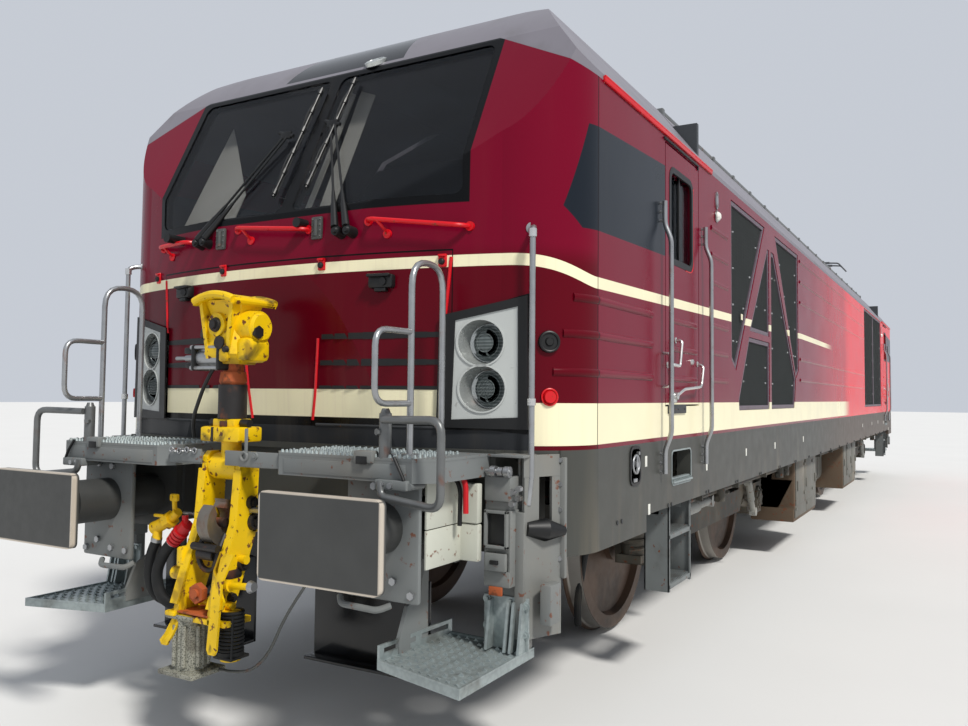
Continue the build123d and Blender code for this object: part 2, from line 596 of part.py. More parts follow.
def panto_head():
    head = None
    for side in (1, -1):
        x, z = PANTO_TOP
        arm = block((x - 210.0, x + 210.0), sorted((side * 350.0, side * 380.0)), (z - 35.0, z + 60.0))
        arm -= rod((x, side * 340.0, z), (x, side * 400.0, z), 20.0 + PIN_FIT)
        head = arm if head is None else head + arm
    for dx in (-190.0, 190.0):
        head += block((PANTO_TOP[0] + dx - 20.0, PANTO_TOP[0] + dx + 20.0), (-640.0, 640.0),
                      (PANTO_TOP[1] + 55.0, PANTO_TOP[1] + 95.0))
        for side in (1, -1):
            horn = [(PANTO_TOP[0] + dx, side * 630.0, PANTO_TOP[1] + 75.0),
                    (PANTO_TOP[0] + dx, side * 800.0, PANTO_TOP[1] + 60.0),
                    (PANTO_TOP[0] + dx, side * 900.0, PANTO_TOP[1] - 60.0)]
            head += bent_tube(horn, 14.0, 80.0)
    return head


def roof_gear():
    """High-voltage conductor on its insulators."""
    gear = rod((5250.0, -300.0, ROOF_Z + 195.0), (-3350.0, -300.0, ROOF_Z + 195.0), 16.0)
    for x in (5200.0, 3000.0, 800.0, -1400.0, -3300.0):
        gear += rod((x, -300.0, ROOF_Z), (x, -300.0, ROOF_Z + 195.0), 50.0)
    return gear


os.makedirs("parts", exist_ok=True)

save("underframe", underframe())
for end, name in ((1, "front"), (-1, "rear")):
    turn = (lambda s: s) if end > 0 else rear
    save("cab_shell_" + name, turn(cab_shell))
    save("cab_roof_" + name, turn(cab_roof))
    save("windscreen_" + name, *[turn(pane) for pane in windscreen])
    save("headlamps_" + name, *[turn(unit) for unit in lamps])
    save("cab_interior_" + name, *[turn(piece) for piece in interior])
    for side, hand in ((1, "left"), (-1, "right")):
        hand = hand if end > 0 else {"left": "right", "right": "left"}[hand]
        save("door_" + name + "_" + hand, turn(doors[side]))
    save("buffers_" + name, *[turn(buffer(side)) for side in (1, -1)])
    save("coupler_arm_" + name, turn(coupler_arm()))
    save("coupler_frame_" + name, turn(coupler_frame()))
    save("draw_hook_" + name, turn(draw_hook()))
    save("end_platform_" + name, *[turn(deck) for deck in end_platform()])
    save("grab_rails_" + name, *[turn(rail) for rail in grab_rails()])
    save("end_steps_" + name, *[turn(step) for step in end_steps()])
    save("door_steps_" + name, *[turn(piece) for piece in door_steps()])
    save("wipers_" + name, *[turn(piece) for piece in wipers()])
    place = Pos(end * PIVOT_X, 0, 0)
    save("bogie_frame_" + name, place * bogie_frame())
    save("running_gear_" + name, *[place * piece for piece in running_gear()])

save("side_wall_left", side_wall())
save("side_wall_right", rear(side_wall()))
save("side_grilles_left", *side_grilles())
save("side_grilles_right", *[rear(panel) for panel in side_grilles()])
save("roof_centre", roof_centre())
save("engine_block", block(*ENGINE))
save("fuel_tank", block(*TANK))
for number, x in enumerate((PIVOT_X + AXLE_HALF, PIVOT_X - AXLE_HALF,
                            -PIVOT_X + AXLE_HALF, -PIVOT_X - AXLE_HALF), start=1):
    save("wheelset_" + str(number), *[Pos(x, 0, 0) * wheel for wheel in wheels()])
    save("axle_" + str(number), Pos(x, 0, 0) * axle())
save("pantograph_base", pantograph_base())
save("pantograph_lower_arm", panto_lower())
save("pantograph_upper_arm", panto_upper())
save("pantograph_head", panto_head())
save("roof_gear", roof_gear())
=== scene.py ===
import json
import math

import bmesh
import bpy
from bpy.props import FloatProperty, FloatVectorProperty, IntProperty, PointerProperty
from mathutils import Matrix, Vector


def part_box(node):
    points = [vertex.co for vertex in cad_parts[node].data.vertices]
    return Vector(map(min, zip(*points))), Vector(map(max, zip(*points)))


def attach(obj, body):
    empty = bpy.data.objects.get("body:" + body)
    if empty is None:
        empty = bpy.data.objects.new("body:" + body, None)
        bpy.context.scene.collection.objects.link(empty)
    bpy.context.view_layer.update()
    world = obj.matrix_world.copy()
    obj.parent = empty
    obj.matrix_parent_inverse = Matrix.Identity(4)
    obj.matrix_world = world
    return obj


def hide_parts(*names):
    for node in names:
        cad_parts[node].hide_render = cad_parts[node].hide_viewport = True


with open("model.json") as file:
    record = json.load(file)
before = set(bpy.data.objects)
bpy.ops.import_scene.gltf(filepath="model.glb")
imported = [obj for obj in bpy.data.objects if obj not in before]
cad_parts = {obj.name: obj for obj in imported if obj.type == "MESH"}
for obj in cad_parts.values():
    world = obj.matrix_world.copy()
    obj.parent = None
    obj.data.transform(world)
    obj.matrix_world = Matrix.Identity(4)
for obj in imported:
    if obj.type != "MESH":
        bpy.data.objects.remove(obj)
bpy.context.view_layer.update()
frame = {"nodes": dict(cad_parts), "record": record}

bl_info = {
    "name": "Dual-mode locomotive",
    "version": (1, 0, 0),
    "blender": (4, 5, 0),
    "location": "3D View > Sidebar > Locomotive",
    "description": "Finishes and small fittings of a four-axle locomotive with a cab at each end",
    "category": "Object",
}

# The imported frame: metres, +X towards cab 1, +Z up, zero at the flange bottoms
NODES = frame["nodes"]
RAIL = 0.028
END_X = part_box("buffers_front")[1][0]
ROOF_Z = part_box("roof_centre")[1][2]
NOSE_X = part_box("cab_shell_front")[1][0]
CAB_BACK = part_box("cab_shell_front")[0][0]
DECK_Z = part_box("cab_shell_front")[0][2]

# Camera of the photograph, measured from the buffers, stripes and upright edges
CAMERA_AT = Vector((11.961, 3.003, 1.6 + RAIL))
CAMERA_YAW = -0.521
CAMERA_PITCH = 0.05
CAMERA_ROLL = 0.01
FOCAL_PX = 850.3
CENTRE_PX = (482.9, 353.2)
IMAGE_PX = (968, 726)
SENSOR_MM = 36.0

# Livery heights above the flange bottoms
SIDE_BAND = (RAIL + 1.38, RAIL + 1.57)
NOSE_BAND = (RAIL + 1.49, RAIL + 1.625)
STRIPE_SIDE = RAIL + 2.13
STRIPE_NOSE = RAIL + 2.222
STRIPE_HALF = 0.027

# Cab seen from above, and the nose profile as (height above the rail, x)
BOW_R = 4.066
BOW_X = NOSE_X - BOW_R
CORNER_R = 0.387
CORNER_X = 8.243
CORNER_Y = 1.12
TOUCH_Y = 1.18
NOSE_PROFILE = ((1.36, NOSE_X - 0.06), (2.24, NOSE_X), (2.515, NOSE_X - 0.035), (3.36, NOSE_X - 0.445))


def linear(red, green, blue):
    """Linear colour of an 8-bit display colour."""
    def one(value):
        value /= 255.0
        return value / 12.92 if value <= 0.04045 else ((value + 0.055) / 1.055) ** 2.4
    return one(red), one(green), one(blue)


class Finish:
    """A node material built step by step on Object coordinates."""

    def __init__(self, name, roughness=0.5, metallic=0.0, specular=0.5):
        self.material = bpy.data.materials.new(name)
        self.material.use_nodes = True
        tree = self.material.node_tree
        self.nodes, self.links = tree.nodes, tree.links
        self.shader = self.nodes["Principled BSDF"]
        self.shader.inputs["Roughness"].default_value = roughness
        self.shader.inputs["Metallic"].default_value = metallic
        self.shader.inputs["Specular IOR Level"].default_value = specular
        self.place = self.nodes.new("ShaderNodeTexCoord").outputs["Object"]
        split = self.nodes.new("ShaderNodeSeparateXYZ")
        self.links.new(self.place, split.inputs[0])
        self.x, self.y, self.z = split.outputs

    def feed(self, socket, value):
        if isinstance(value, bpy.types.NodeSocket):
            self.links.new(value, socket)
        elif isinstance(value, (int, float)):
            socket.default_value = value
        else:
            socket.default_value = (*value, 1.0) if len(socket.default_value) == 4 else value

    def math(self, operation, first, second=0.0, clamp=False):
        node = self.nodes.new("ShaderNodeMath")
        node.operation = operation
        node.use_clamp = clamp
        self.feed(node.inputs[0], first)
        self.feed(node.inputs[1], second)
        return node.outputs[0]

    def rise(self, value, low, high):
        """0 below low, 1 above high, smooth between."""
        node = self.nodes.new("ShaderNodeMapRange")
        node.interpolation_type = "SMOOTHSTEP"
        self.feed(node.inputs["Value"], value)
        node.inputs["From Min"].default_value = low
        node.inputs["From Max"].default_value = high
        return node.outputs["Result"]

    def inside(self, value, low, high, soft=0.001):
        up = self.rise(value, low - soft, low + soft)
        down = self.rise(value, high - soft, high + soft)
        return self.math("SUBTRACT", up, down, clamp=True)

    def both(self, *masks):
        result = masks[0]
        for mask in masks[1:]:
            result = self.math("MULTIPLY", result, mask)
        return result

    def either(self, *masks):
        result = masks[0]
        for mask in masks[1:]:
            result = self.math("MAXIMUM", result, mask)
        return result

    def invert(self, mask):
        return self.math("SUBTRACT", 1.0, mask)

    def noise(self, scale, detail=4.0, stretch=(1.0, 1.0, 1.0), distortion=0.0):
        node = self.nodes.new("ShaderNodeTexNoise")
        node.inputs["Scale"].default_value = scale
        node.inputs["Detail"].default_value = detail
        node.inputs["Distortion"].default_value = distortion
        self.links.new(self.mapped(stretch), node.inputs["Vector"])
        return node.outputs["Fac"]

    def cells(self, scale, stretch=(1.0, 1.0, 1.0)):
        node = self.nodes.new("ShaderNodeTexVoronoi")
        node.inputs["Scale"].default_value = scale
        self.links.new(self.mapped(stretch), node.inputs["Vector"])
        return node.outputs["Distance"]

    def mapped(self, stretch):
        node = self.nodes.new("ShaderNodeMapping")
        node.inputs["Scale"].default_value = stretch
        self.links.new(self.place, node.inputs["Vector"])
        return node.outputs[0]

    def blend(self, factor, under, over):
        node = self.nodes.new("ShaderNodeMix")
        node.data_type = "RGBA"
        self.feed(node.inputs["Factor"], factor)
        self.feed(node.inputs[6], under)
        self.feed(node.inputs[7], over)
        return node.outputs[2]

    def shade(self, colour, value, low, high):
        """The colour darkened or lightened by a grey value between two factors."""
        dark = tuple(part * low for part in colour)
        light = tuple(min(1.0, part * high) for part in colour)
        return self.blend(value, dark, light)

    def between(self, value, low, high):
        node = self.nodes.new("ShaderNodeMapRange")
        self.feed(node.inputs["Value"], value)
        node.inputs["To Min"].default_value = low
        node.inputs["To Max"].default_value = high
        return node.outputs["Result"]

    def colour(self, value):
        self.feed(self.shader.inputs["Base Color"], value)

    def rough(self, value):
        self.feed(self.shader.inputs["Roughness"], value)

    def metal(self, value):
        self.feed(self.shader.inputs["Metallic"], value)

    def bump(self, height, strength, distance):
        node = self.nodes.new("ShaderNodeBump")
        node.inputs["Strength"].default_value = strength
        node.inputs["Distance"].default_value = distance
        self.links.new(height, node.inputs["Height"])
        self.links.new(node.outputs["Normal"], self.shader.inputs["Normal"])


CRIMSON = linear(112, 2, 34)
# Darker crimson, painted shade for the shaded front of the nose
CRIMSON_IN_PAINTED_SHADE = linear(84, 0, 14)
BRIGHT_RED = linear(226, 24, 34)
CREAM = linear(243, 236, 200)
NIGHT_GREY = linear(27, 33, 41)
SKIRT_GREY = linear(66, 67, 63)
ROOF_GREY = linear(122, 119, 127)
STEP_GREY = linear(112, 117, 117)
YELLOW = linear(238, 196, 4)
RUST = linear(112, 62, 36)
DUST = linear(150, 136, 112)
LAMP_GREY = linear(186, 190, 188)


def crimson_livery():
    """Crimson with cream bands, a slate window field, black glass surround and a bright red rear half."""
    f = Finish("crimson_livery", roughness=0.22, specular=0.14)
    front_x = f.math("ABSOLUTE", f.x)
    wide_y = f.math("ABSOLUTE", f.y)
    nose = f.rise(front_x, 8.27, 8.29)
    mottle = f.noise(1.3, 5.0)
    # Painted shade: the nose front below the stripe is darkened
    painted_shade_low_nose = f.both(nose, f.invert(f.rise(f.z, RAIL + 2.18, RAIL + 2.3)))
    paint = f.shade(CRIMSON, mottle, 0.86, 1.1)
    paint = f.blend(f.math("MULTIPLY", painted_shade_low_nose, 0.85), paint, CRIMSON_IN_PAINTED_SHADE)

    # The side turns bright red behind the middle
    to_rear = f.invert(f.rise(f.x, -0.6, 3.0))
    wavy = f.math("ADD", f.x, f.math("MULTIPLY", f.noise(2.2, 3.0), 0.5))
    edge = f.invert(f.rise(wavy, -0.95, -0.2))
    red = f.math("ADD", f.math("MULTIPLY", to_rear, 0.5), f.math("MULTIPLY", edge, 0.5))
    paint = f.blend(red, paint, BRIGHT_RED)

    # Cream band round the foot: low on the sides, higher and framed by a black gap on the nose
    hood = f.both(nose, f.invert(f.rise(wide_y, 0.922, 0.924)))
    corner = f.both(nose, f.rise(wide_y, 0.922, 0.924), f.invert(f.rise(wide_y, 1.306, 1.31)))
    side = f.math("SUBTRACT", f.invert(hood), corner, clamp=True)
    foot_side = f.both(side, f.inside(f.z, SIDE_BAND[0], SIDE_BAND[1]))
    foot_nose = f.both(hood, f.inside(f.z, NOSE_BAND[0], NOSE_BAND[1]))
    grain = f.shade(CREAM, f.noise(3.0, 6.0), 0.9, 1.04)
    grain = f.blend(f.rise(f.noise(60.0, 3.0, (0.02, 1.0, 0.02)), 0.45, 0.95), grain, linear(230, 220, 190))
    paint = f.blend(f.both(f.either(foot_side, foot_nose), f.invert(edge)), paint, grain)
    below = f.invert(f.rise(f.z, NOSE_BAND[0] - 0.001, NOSE_BAND[0] + 0.001))
    paint = f.blend(f.both(f.either(hood, corner), below), paint, linear(10, 10, 11))
    apron = f.both(f.either(hood, corner), f.invert(f.rise(f.z, RAIL + 1.444, RAIL + 1.446)))
    paint = f.blend(apron, paint, linear(44, 46, 49))

    # Thin stripe at the waist, higher on the nose, and the dark joint above it
    rise_back = f.math("MULTIPLY", f.math("SUBTRACT", 8.28, front_x), 0.02)
    on_side = f.math("MINIMUM", f.math("ADD", rise_back, STRIPE_SIDE), STRIPE_SIDE + 0.11)
    lift = f.math("MULTIPLY", f.rise(front_x, 8.28, NOSE_X - 0.16), STRIPE_NOSE - STRIPE_SIDE)
    middle = f.math("ADD", on_side, lift)
    off = f.math("ABSOLUTE", f.math("SUBTRACT", f.z, middle))
    stripe = f.both(f.invert(f.rise(off, STRIPE_HALF - 0.001, STRIPE_HALF + 0.001)), f.rise(f.x, 0.5, 1.3))
    rear_stripe = f.both(f.invert(f.rise(off, STRIPE_HALF - 0.001, STRIPE_HALF + 0.001)),
                         f.rise(front_x, 8.3, 8.31))
    paint = f.blend(f.either(stripe, rear_stripe), paint, grain)
    joint = f.both(nose, f.invert(f.rise(wide_y, 0.958, 0.96)), f.inside(f.z, RAIL + 2.262, RAIL + 2.27))
    seam = f.both(nose, f.inside(wide_y, 0.956, 0.961), f.inside(f.z, RAIL + 1.445, RAIL + 2.27))
    paint = f.blend(f.either(joint, seam), paint, linear(6, 4, 5))

    # Slate field beside the cab window, slanted in front, with two rounded corners
    lean = f.math("MULTIPLY", f.math("SUBTRACT", f.z, RAIL + 2.871), 0.323)
    ahead = f.math("ADD", front_x, lean)
    drop = f.math("MULTIPLY", f.math("SUBTRACT", front_x, 7.262), 0.056)
    top = f.math("ADD", f.z, drop)
    foot = f.math("ADD", f.z, f.math("MULTIPLY", f.math("SUBTRACT", front_x, 7.262), 0.03))
    cut = f.math("SUBTRACT", front_x, f.z)
    field = f.both(f.invert(f.rise(ahead, 8.353, 8.357)), f.invert(f.rise(top, RAIL + 2.925, RAIL + 2.929)),
                   f.rise(foot, RAIL + 2.404, RAIL + 2.408), f.rise(front_x, 7.274, 7.276),
                   f.invert(f.rise(cut, 6.022 - RAIL, 6.026 - RAIL)), f.rise(wide_y, 1.36, 1.37))
    paint = f.blend(field, paint, NIGHT_GREY)

    # Black frame round the slanted lamps, by its four edges
    lamp_left = f.math("SUBTRACT", wide_y, f.math("MULTIPLY", f.math("SUBTRACT", f.z, RAIL + 1.489), 0.03))
    lamp_top = f.math("SUBTRACT", f.z, f.math("MULTIPLY", f.math("SUBTRACT", wide_y, 0.954), 0.303))
    lamp_foot = f.math("ADD", f.z, f.math("MULTIPLY", f.math("SUBTRACT", wide_y, 0.94), 0.091))
    frame_mask = f.both(nose, f.rise(lamp_left, 0.904, 0.906),
                        f.invert(f.rise(lamp_top, RAIL + 1.952, RAIL + 1.955)),
                        f.rise(lamp_foot, RAIL + 1.462, RAIL + 1.464), f.invert(f.rise(wide_y, 1.306, 1.31)))
    paint = f.blend(frame_mask, paint, linear(9, 10, 11))

    # Black bonded edge of the windscreen, with the centre pillar
    sides = f.math("SUBTRACT", wide_y, f.math("MULTIPLY", f.math("SUBTRACT", f.z, RAIL + 2.5), 0.012))
    surround = f.both(f.invert(f.rise(sides, 1.033, 1.035)), f.inside(f.z, RAIL + 2.484, RAIL + 3.4, 0.002),
                      f.rise(front_x, 8.18, 8.2))
    paint = f.blend(surround, paint, linear(9, 10, 12))

    # Upright joint behind the nose
    lines = f.both(f.rise(wide_y, 1.49, 1.5), f.inside(front_x, 8.277, 8.283))
    paint = f.blend(lines, paint, linear(14, 4, 8))

    # Dust gathers low down and streaks run from the roof
    streak = f.noise(7.0, 4.0, (1.0, 1.0, 0.06))
    low = f.invert(f.rise(f.z, DECK_Z, DECK_Z + 0.75))
    dirt = f.math("MULTIPLY", f.rise(streak, 0.52, 0.75), f.math("ADD", f.math("MULTIPLY", low, 0.05), 0.012))
    paint = f.blend(dirt, paint, DUST)
    f.colour(paint)
    f.rough(f.between(f.noise(3.0, 5.0), 0.17, 0.32))
    f.bump(f.noise(2.5, 1.0), 0.05, 0.02)
    return f.material


def roof_paint():
    """Satin grey roof with a dark glazed panel above the screen."""
    f = Finish("roof_paint", roughness=0.42, specular=0.35)
    front_x = f.math("ABSOLUTE", f.x)
    wide_y = f.math("ABSOLUTE", f.y)
    paint = f.shade(ROOF_GREY, f.noise(1.8, 6.0), 0.84, 1.08)
    streak = f.noise(5.0, 5.0, (0.25, 1.0, 1.0))
    paint = f.blend(f.math("MULTIPLY", f.rise(streak, 0.5, 0.8), 0.35), paint, linear(86, 82, 80))
    width = f.math("ADD", wide_y, f.math("MULTIPLY", f.math("SUBTRACT", front_x, 8.0), -0.25))
    panel = f.both(f.invert(f.rise(width, 0.33, 0.335)), f.inside(front_x, 7.92, 8.33, 0.002))
    paint = f.blend(panel, paint, linear(8, 11, 15))
    f.colour(paint)
    f.rough(f.math("SUBTRACT", f.between(f.noise(6.0, 4.0), 0.34, 0.52), f.math("MULTIPLY", panel, 0.3)))
    f.bump(f.noise(30.0, 3.0), 0.04, 0.002)
    return f.material


def dusty_paint(name, colour, dust=0.35, roughness=0.55, chips=0.0, specular=0.35):
    """Paint with uneven tone, dust in patches and, where asked, rust chips."""
    f = Finish(name, roughness=roughness, specular=specular)
    paint = f.shade(colour, f.noise(2.6, 6.0), 0.8, 1.14)
    patch = f.rise(f.noise(1.7, 8.0, (1.0, 1.0, 0.5)), 0.48, 0.78)
    paint = f.blend(f.math("MULTIPLY", patch, dust), paint, DUST)
    if chips > 0.0:
        fleck = f.rise(f.noise(26.0, 8.0), 0.66 - 0.12 * chips, 0.72 - 0.08 * chips)
        paint = f.blend(f.math("MULTIPLY", fleck, 0.85), paint, f.shade(RUST, f.noise(60.0), 0.6, 1.3))
    f.colour(paint)
    f.rough(f.between(f.noise(9.0, 6.0), roughness - 0.1, roughness + 0.16))
    f.bump(f.noise(60.0, 4.0), 0.1, 0.002)
    return f.material


def skirt_paint():
    """Dark grey sole bar and aprons, dusty near the rail, reddish behind the middle."""
    f = Finish("skirt_paint", roughness=0.45, specular=0.35)
    paint = f.shade(SKIRT_GREY, f.noise(2.0, 6.0), 0.84, 1.1)
    warm = f.math("MULTIPLY", f.invert(f.rise(f.x, -1.4, 2.6)), 0.3)
    paint = f.blend(warm, paint, linear(104, 74, 58))
    streak = f.noise(8.0, 5.0, (1.0, 1.0, 0.08))
    dirt = f.math("MULTIPLY", f.rise(streak, 0.5, 0.8), f.between(f.rise(f.z, 1.4, 0.8), 0.05, 0.22))
    paint = f.blend(dirt, paint, DUST)
    f.colour(paint)
    f.rough(f.between(f.noise(8.0, 6.0), 0.36, 0.58))
    f.bump(f.noise(45.0, 3.0), 0.06, 0.002)
    return f.material


def tinted_glass():
    f = Finish("tinted_glass", roughness=0.03, specular=0.5)
    smear = f.noise(4.0, 5.0, (1.0, 0.6, 1.6))
    f.colour(f.blend(f.rise(smear, 0.45, 0.8), linear(10, 14, 20), linear(24, 30, 36)))
    f.shader.inputs["Alpha"].default_value = 0.34
    f.rough(f.between(smear, 0.02, 0.07))
    return f.material


def lamp_panel():
    """Light grey moulded lamp unit with dark bowls."""
    f = Finish("lamp_panel", roughness=0.35, specular=0.4)
    paint = f.shade(LAMP_GREY, f.noise(3.5, 6.0), 0.86, 1.04)
    spot = f.rise(f.noise(38.0, 5.0), 0.66, 0.72)
    paint = f.blend(f.math("MULTIPLY", spot, 0.35), paint, linear(90, 84, 70))
    f.colour(paint)
    f.rough(f.between(f.noise(12.0, 4.0), 0.26, 0.42))
    f.bump(f.noise(80.0, 3.0), 0.05, 0.001)
    return f.material


def moulded_plastic(name, colour, roughness=0.55):
    f = Finish(name, roughness=roughness, specular=0.4)
    f.colour(f.shade(colour, f.noise(4.0, 5.0), 0.82, 1.15))
    f.rough(f.between(f.noise(14.0, 5.0), roughness - 0.08, roughness + 0.1))
    f.bump(f.noise(260.0, 2.0), 0.16, 0.0006)
    return f.material


def worn_steel(name, colour, roughness=0.4, rust=0.4, metallic=0.75):
    """Bare or thinly painted steel with rust in blotches."""
    f = Finish(name, roughness=roughness, metallic=metallic)
    blotch = f.rise(f.noise(9.0, 9.0, distortion=0.4), 0.62 - 0.22 * rust, 0.82 - 0.22 * rust)
    base = f.shade(colour, f.noise(16.0, 6.0), 0.72, 1.18)
    brown = f.shade(RUST, f.noise(38.0, 6.0), 0.55, 1.35)
    f.colour(f.blend(blotch, base, brown))
    f.metal(f.math("SUBTRACT", metallic, f.math("MULTIPLY", blotch, metallic * 0.8)))
    f.rough(f.math("ADD", f.between(f.noise(20.0, 5.0), roughness - 0.08, roughness + 0.12),
                   f.math("MULTIPLY", blotch, 0.3)))
    f.bump(f.noise(90.0, 6.0), 0.22, 0.0015)
    return f.material


def buffer_finish():
    """Dark grey buffers with rusty, scraped faces and a pale rim, partly worn and partly a painted highlight.
    """
    f = Finish("buffer_finish", roughness=0.5, metallic=0.1)
    along = f.math("ABSOLUTE", f.x)
    wide = f.math("ABSOLUTE", f.math("SUBTRACT", f.math("ABSOLUTE", f.y), 0.875))
    tall = f.math("ABSOLUTE", f.math("SUBTRACT", f.z, RAIL + 1.05))
    paint = f.shade(linear(62, 63, 62), f.noise(5.0, 6.0), 0.75, 1.2)
    face = f.rise(along, END_X - 0.03, END_X - 0.018)
    scrape = f.noise(7.0, 8.0, (1.0, 0.5, 1.0), 0.6)
    worn = f.blend(f.rise(scrape, 0.38, 0.66), linear(15, 13, 13), linear(34, 27, 24))
    edge = f.either(f.rise(wide, 0.215, 0.284), f.rise(tall, 0.105, 0.162))
    worn = f.blend(f.math("MULTIPLY", edge, f.between(f.rise(scrape, 0.36, 0.6), 0.25, 0.95)),
                   worn, linear(112, 56, 30))
    # Pale rim on the face: wear, with a painted highlight along the edge
    rim = f.either(f.rise(wide, 0.286, 0.291), f.rise(tall, 0.163, 0.168))
    paint = f.blend(f.both(rim, face), paint, linear(196, 186, 172))
    f.colour(paint)
    f.metal(f.math("MULTIPLY", face, 0.12))
    f.rough(f.between(f.noise(18.0, 7.0), 0.34, 0.62))
    f.bump(f.noise(40.0, 7.0), 0.25, 0.003)
    return f.material


def coupler_yellow():
    """Thick yellow paint, greasy and rusty where parts rub, with a bare neck and sleeve."""
    f = Finish("coupler_yellow", roughness=0.42, specular=0.4)
    paint = f.shade(YELLOW, f.noise(6.0, 6.0), 0.78, 1.08)
    grime = f.rise(f.noise(7.5, 9.0, distortion=0.5), 0.52, 0.68)
    paint = f.blend(f.math("MULTIPLY", grime, 0.65), paint, linear(108, 78, 22))
    chip = f.rise(f.noise(30.0, 9.0), 0.6, 0.66)
    paint = f.blend(chip, paint, f.shade(RUST, f.noise(50.0), 0.4, 1.2))
    dark = f.rise(f.noise(5.0, 9.0, distortion=1.0), 0.6, 0.68)
    paint = f.blend(f.math("MULTIPLY", dark, 0.75), paint, linear(30, 26, 18))
    neck = f.inside(f.z, RAIL + 1.572, RAIL + 1.69, 0.004)
    near = f.invert(f.rise(f.math("ABSOLUTE", f.y), 0.08, 0.082))
    paint = f.blend(f.both(neck, near), paint, f.shade(RUST, f.noise(22.0, 6.0), 0.5, 1.5))
    sleeve = f.inside(f.z, RAIL + 1.482, RAIL + 1.572, 0.002)
    paint = f.blend(sleeve, paint, f.shade(linear(88, 84, 78), f.noise(18.0, 6.0), 0.6, 1.3))
    f.colour(paint)
    f.rough(f.between(f.noise(15.0, 7.0), 0.28, 0.6))
    f.bump(f.noise(34.0, 6.0), 0.3, 0.003)
    return f.material


def platform_finish():
    """Grey paint with dirt in patches and rust chips."""
    f = Finish("platform_finish", roughness=0.6, metallic=0.1)
    paint = f.shade(STEP_GREY, f.noise(4.0, 7.0), 0.78, 1.12)
    dirt = f.rise(f.noise(6.0, 8.0, distortion=0.4), 0.52, 0.74)
    paint = f.blend(f.math("MULTIPLY", dirt, 0.5), paint, linear(70, 66, 60))
    chip = f.rise(f.noise(34.0, 9.0), 0.65, 0.7)
    paint = f.blend(chip, paint, f.shade(RUST, f.noise(60.0), 0.5, 1.2))
    f.colour(paint)
    f.rough(f.between(f.noise(12.0, 6.0), 0.44, 0.72))
    f.bump(f.noise(70.0, 5.0), 0.2, 0.002)
    return f.material


def mesh_screen():
    """Dark filter mesh behind a bolted frame: fine square wires as bump and tone."""
    f = Finish("mesh_screen", roughness=0.55, metallic=0.3)
    wires = f.either(f.rise(f.math("SINE", f.math("MULTIPLY", f.x, 340.0)), 0.2, 0.9),
                     f.rise(f.math("SINE", f.math("MULTIPLY", f.z, 340.0)), 0.2, 0.9))
    tone = f.shade(linear(44, 46, 48), f.noise(3.0, 6.0), 0.7, 1.25)
    paint = f.blend(wires, f.shade(linear(24, 25, 27), f.noise(3.0, 6.0), 0.7, 1.2), tone)
    dusty = f.math("MULTIPLY", f.rise(f.noise(2.2, 8.0), 0.5, 0.8), 0.25)
    f.colour(f.blend(dusty, paint, linear(98, 90, 78)))
    f.bump(wires, 0.5, 0.002)
    return f.material


def wheel_finish():
    """Rusty brown discs, dusty rims and a bright worn tread."""
    f = Finish("wheel_finish", roughness=0.55, metallic=0.3)
    paint = f.shade(linear(86, 66, 52), f.noise(5.0, 8.0), 0.6, 1.25)
    grime = f.rise(f.noise(2.6, 7.0, distortion=0.6), 0.46, 0.66)
    paint = f.blend(f.math("MULTIPLY", grime, 0.6), paint, linear(36, 32, 29))
    radial = f.nodes.new("ShaderNodeVectorMath")
    radial.operation = "LENGTH"
    flat = f.nodes.new("ShaderNodeCombineXYZ")
    f.links.new(f.math("SUBTRACT", f.math("PINGPONG", f.math("SUBTRACT", f.x, 3.25), 1.5), 0.0),
                flat.inputs[0])
    f.links.new(f.math("SUBTRACT", f.z, 0.653), flat.inputs[2])
    f.links.new(flat.outputs[0], radial.inputs[0])
    side = f.math("ABSOLUTE", f.y)
    tread = f.both(f.rise(radial.outputs["Value"], 0.606, 0.612), f.inside(side, 0.715, 0.812, 0.004))
    paint = f.blend(tread, paint, linear(168, 164, 158))
    f.colour(paint)
    f.metal(f.between(tread, 0.25, 0.95))
    f.rough(f.between(f.noise(20.0, 6.0), 0.42, 0.68))
    f.bump(f.noise(50.0, 7.0), 0.25, 0.002)
    return f.material


def hose_rubber():
    """Black ribbed hose with dust on it."""
    f = Finish("hose_rubber", roughness=0.6, specular=0.3)
    paint = f.shade(linear(26, 27, 28), f.noise(9.0, 6.0), 0.7, 1.4)
    f.colour(f.blend(f.math("MULTIPLY", f.rise(f.noise(4.0, 7.0), 0.5, 0.75), 0.3),
                     paint, linear(96, 90, 80)))
    f.rough(f.between(f.noise(16.0, 4.0), 0.45, 0.75))
    f.bump(f.noise(120.0, 3.0), 0.2, 0.001)
    return f.material


def grating_finish():
    """Galvanised step with worn, bright edges and dirt in its pockets."""
    f = Finish("grating_finish", roughness=0.45, metallic=0.55)
    paint = f.shade(linear(168, 178, 178), f.noise(7.0, 6.0), 0.7, 1.1)
    spangle = f.rise(f.cells(46.0), 0.35, 0.75)
    paint = f.blend(f.math("MULTIPLY", spangle, 0.3), paint, linear(120, 130, 132))
    dirt = f.rise(f.noise(5.0, 8.0, distortion=0.5), 0.54, 0.72)
    paint = f.blend(f.math("MULTIPLY", dirt, 0.55), paint, linear(92, 86, 76))
    f.colour(paint)
    f.rough(f.between(f.noise(14.0, 6.0), 0.34, 0.62))
    f.bump(f.noise(80.0, 4.0), 0.15, 0.0012)
    return f.material


def lens_glass():
    """Dark lamp lens with faint rings."""
    f = Finish("lens_glass", roughness=0.12, specular=0.5)
    rings = f.math("SINE", f.math("MULTIPLY", f.z, 420.0))
    tone = f.math("MULTIPLY", f.rise(rings, -0.2, 0.9), f.noise(22.0, 3.0))
    f.colour(f.blend(tone, linear(74, 82, 82), linear(128, 136, 136)))
    f.rough(f.between(f.noise(18.0, 4.0), 0.06, 0.22))
    f.bump(rings, 0.2, 0.001)
    return f.material


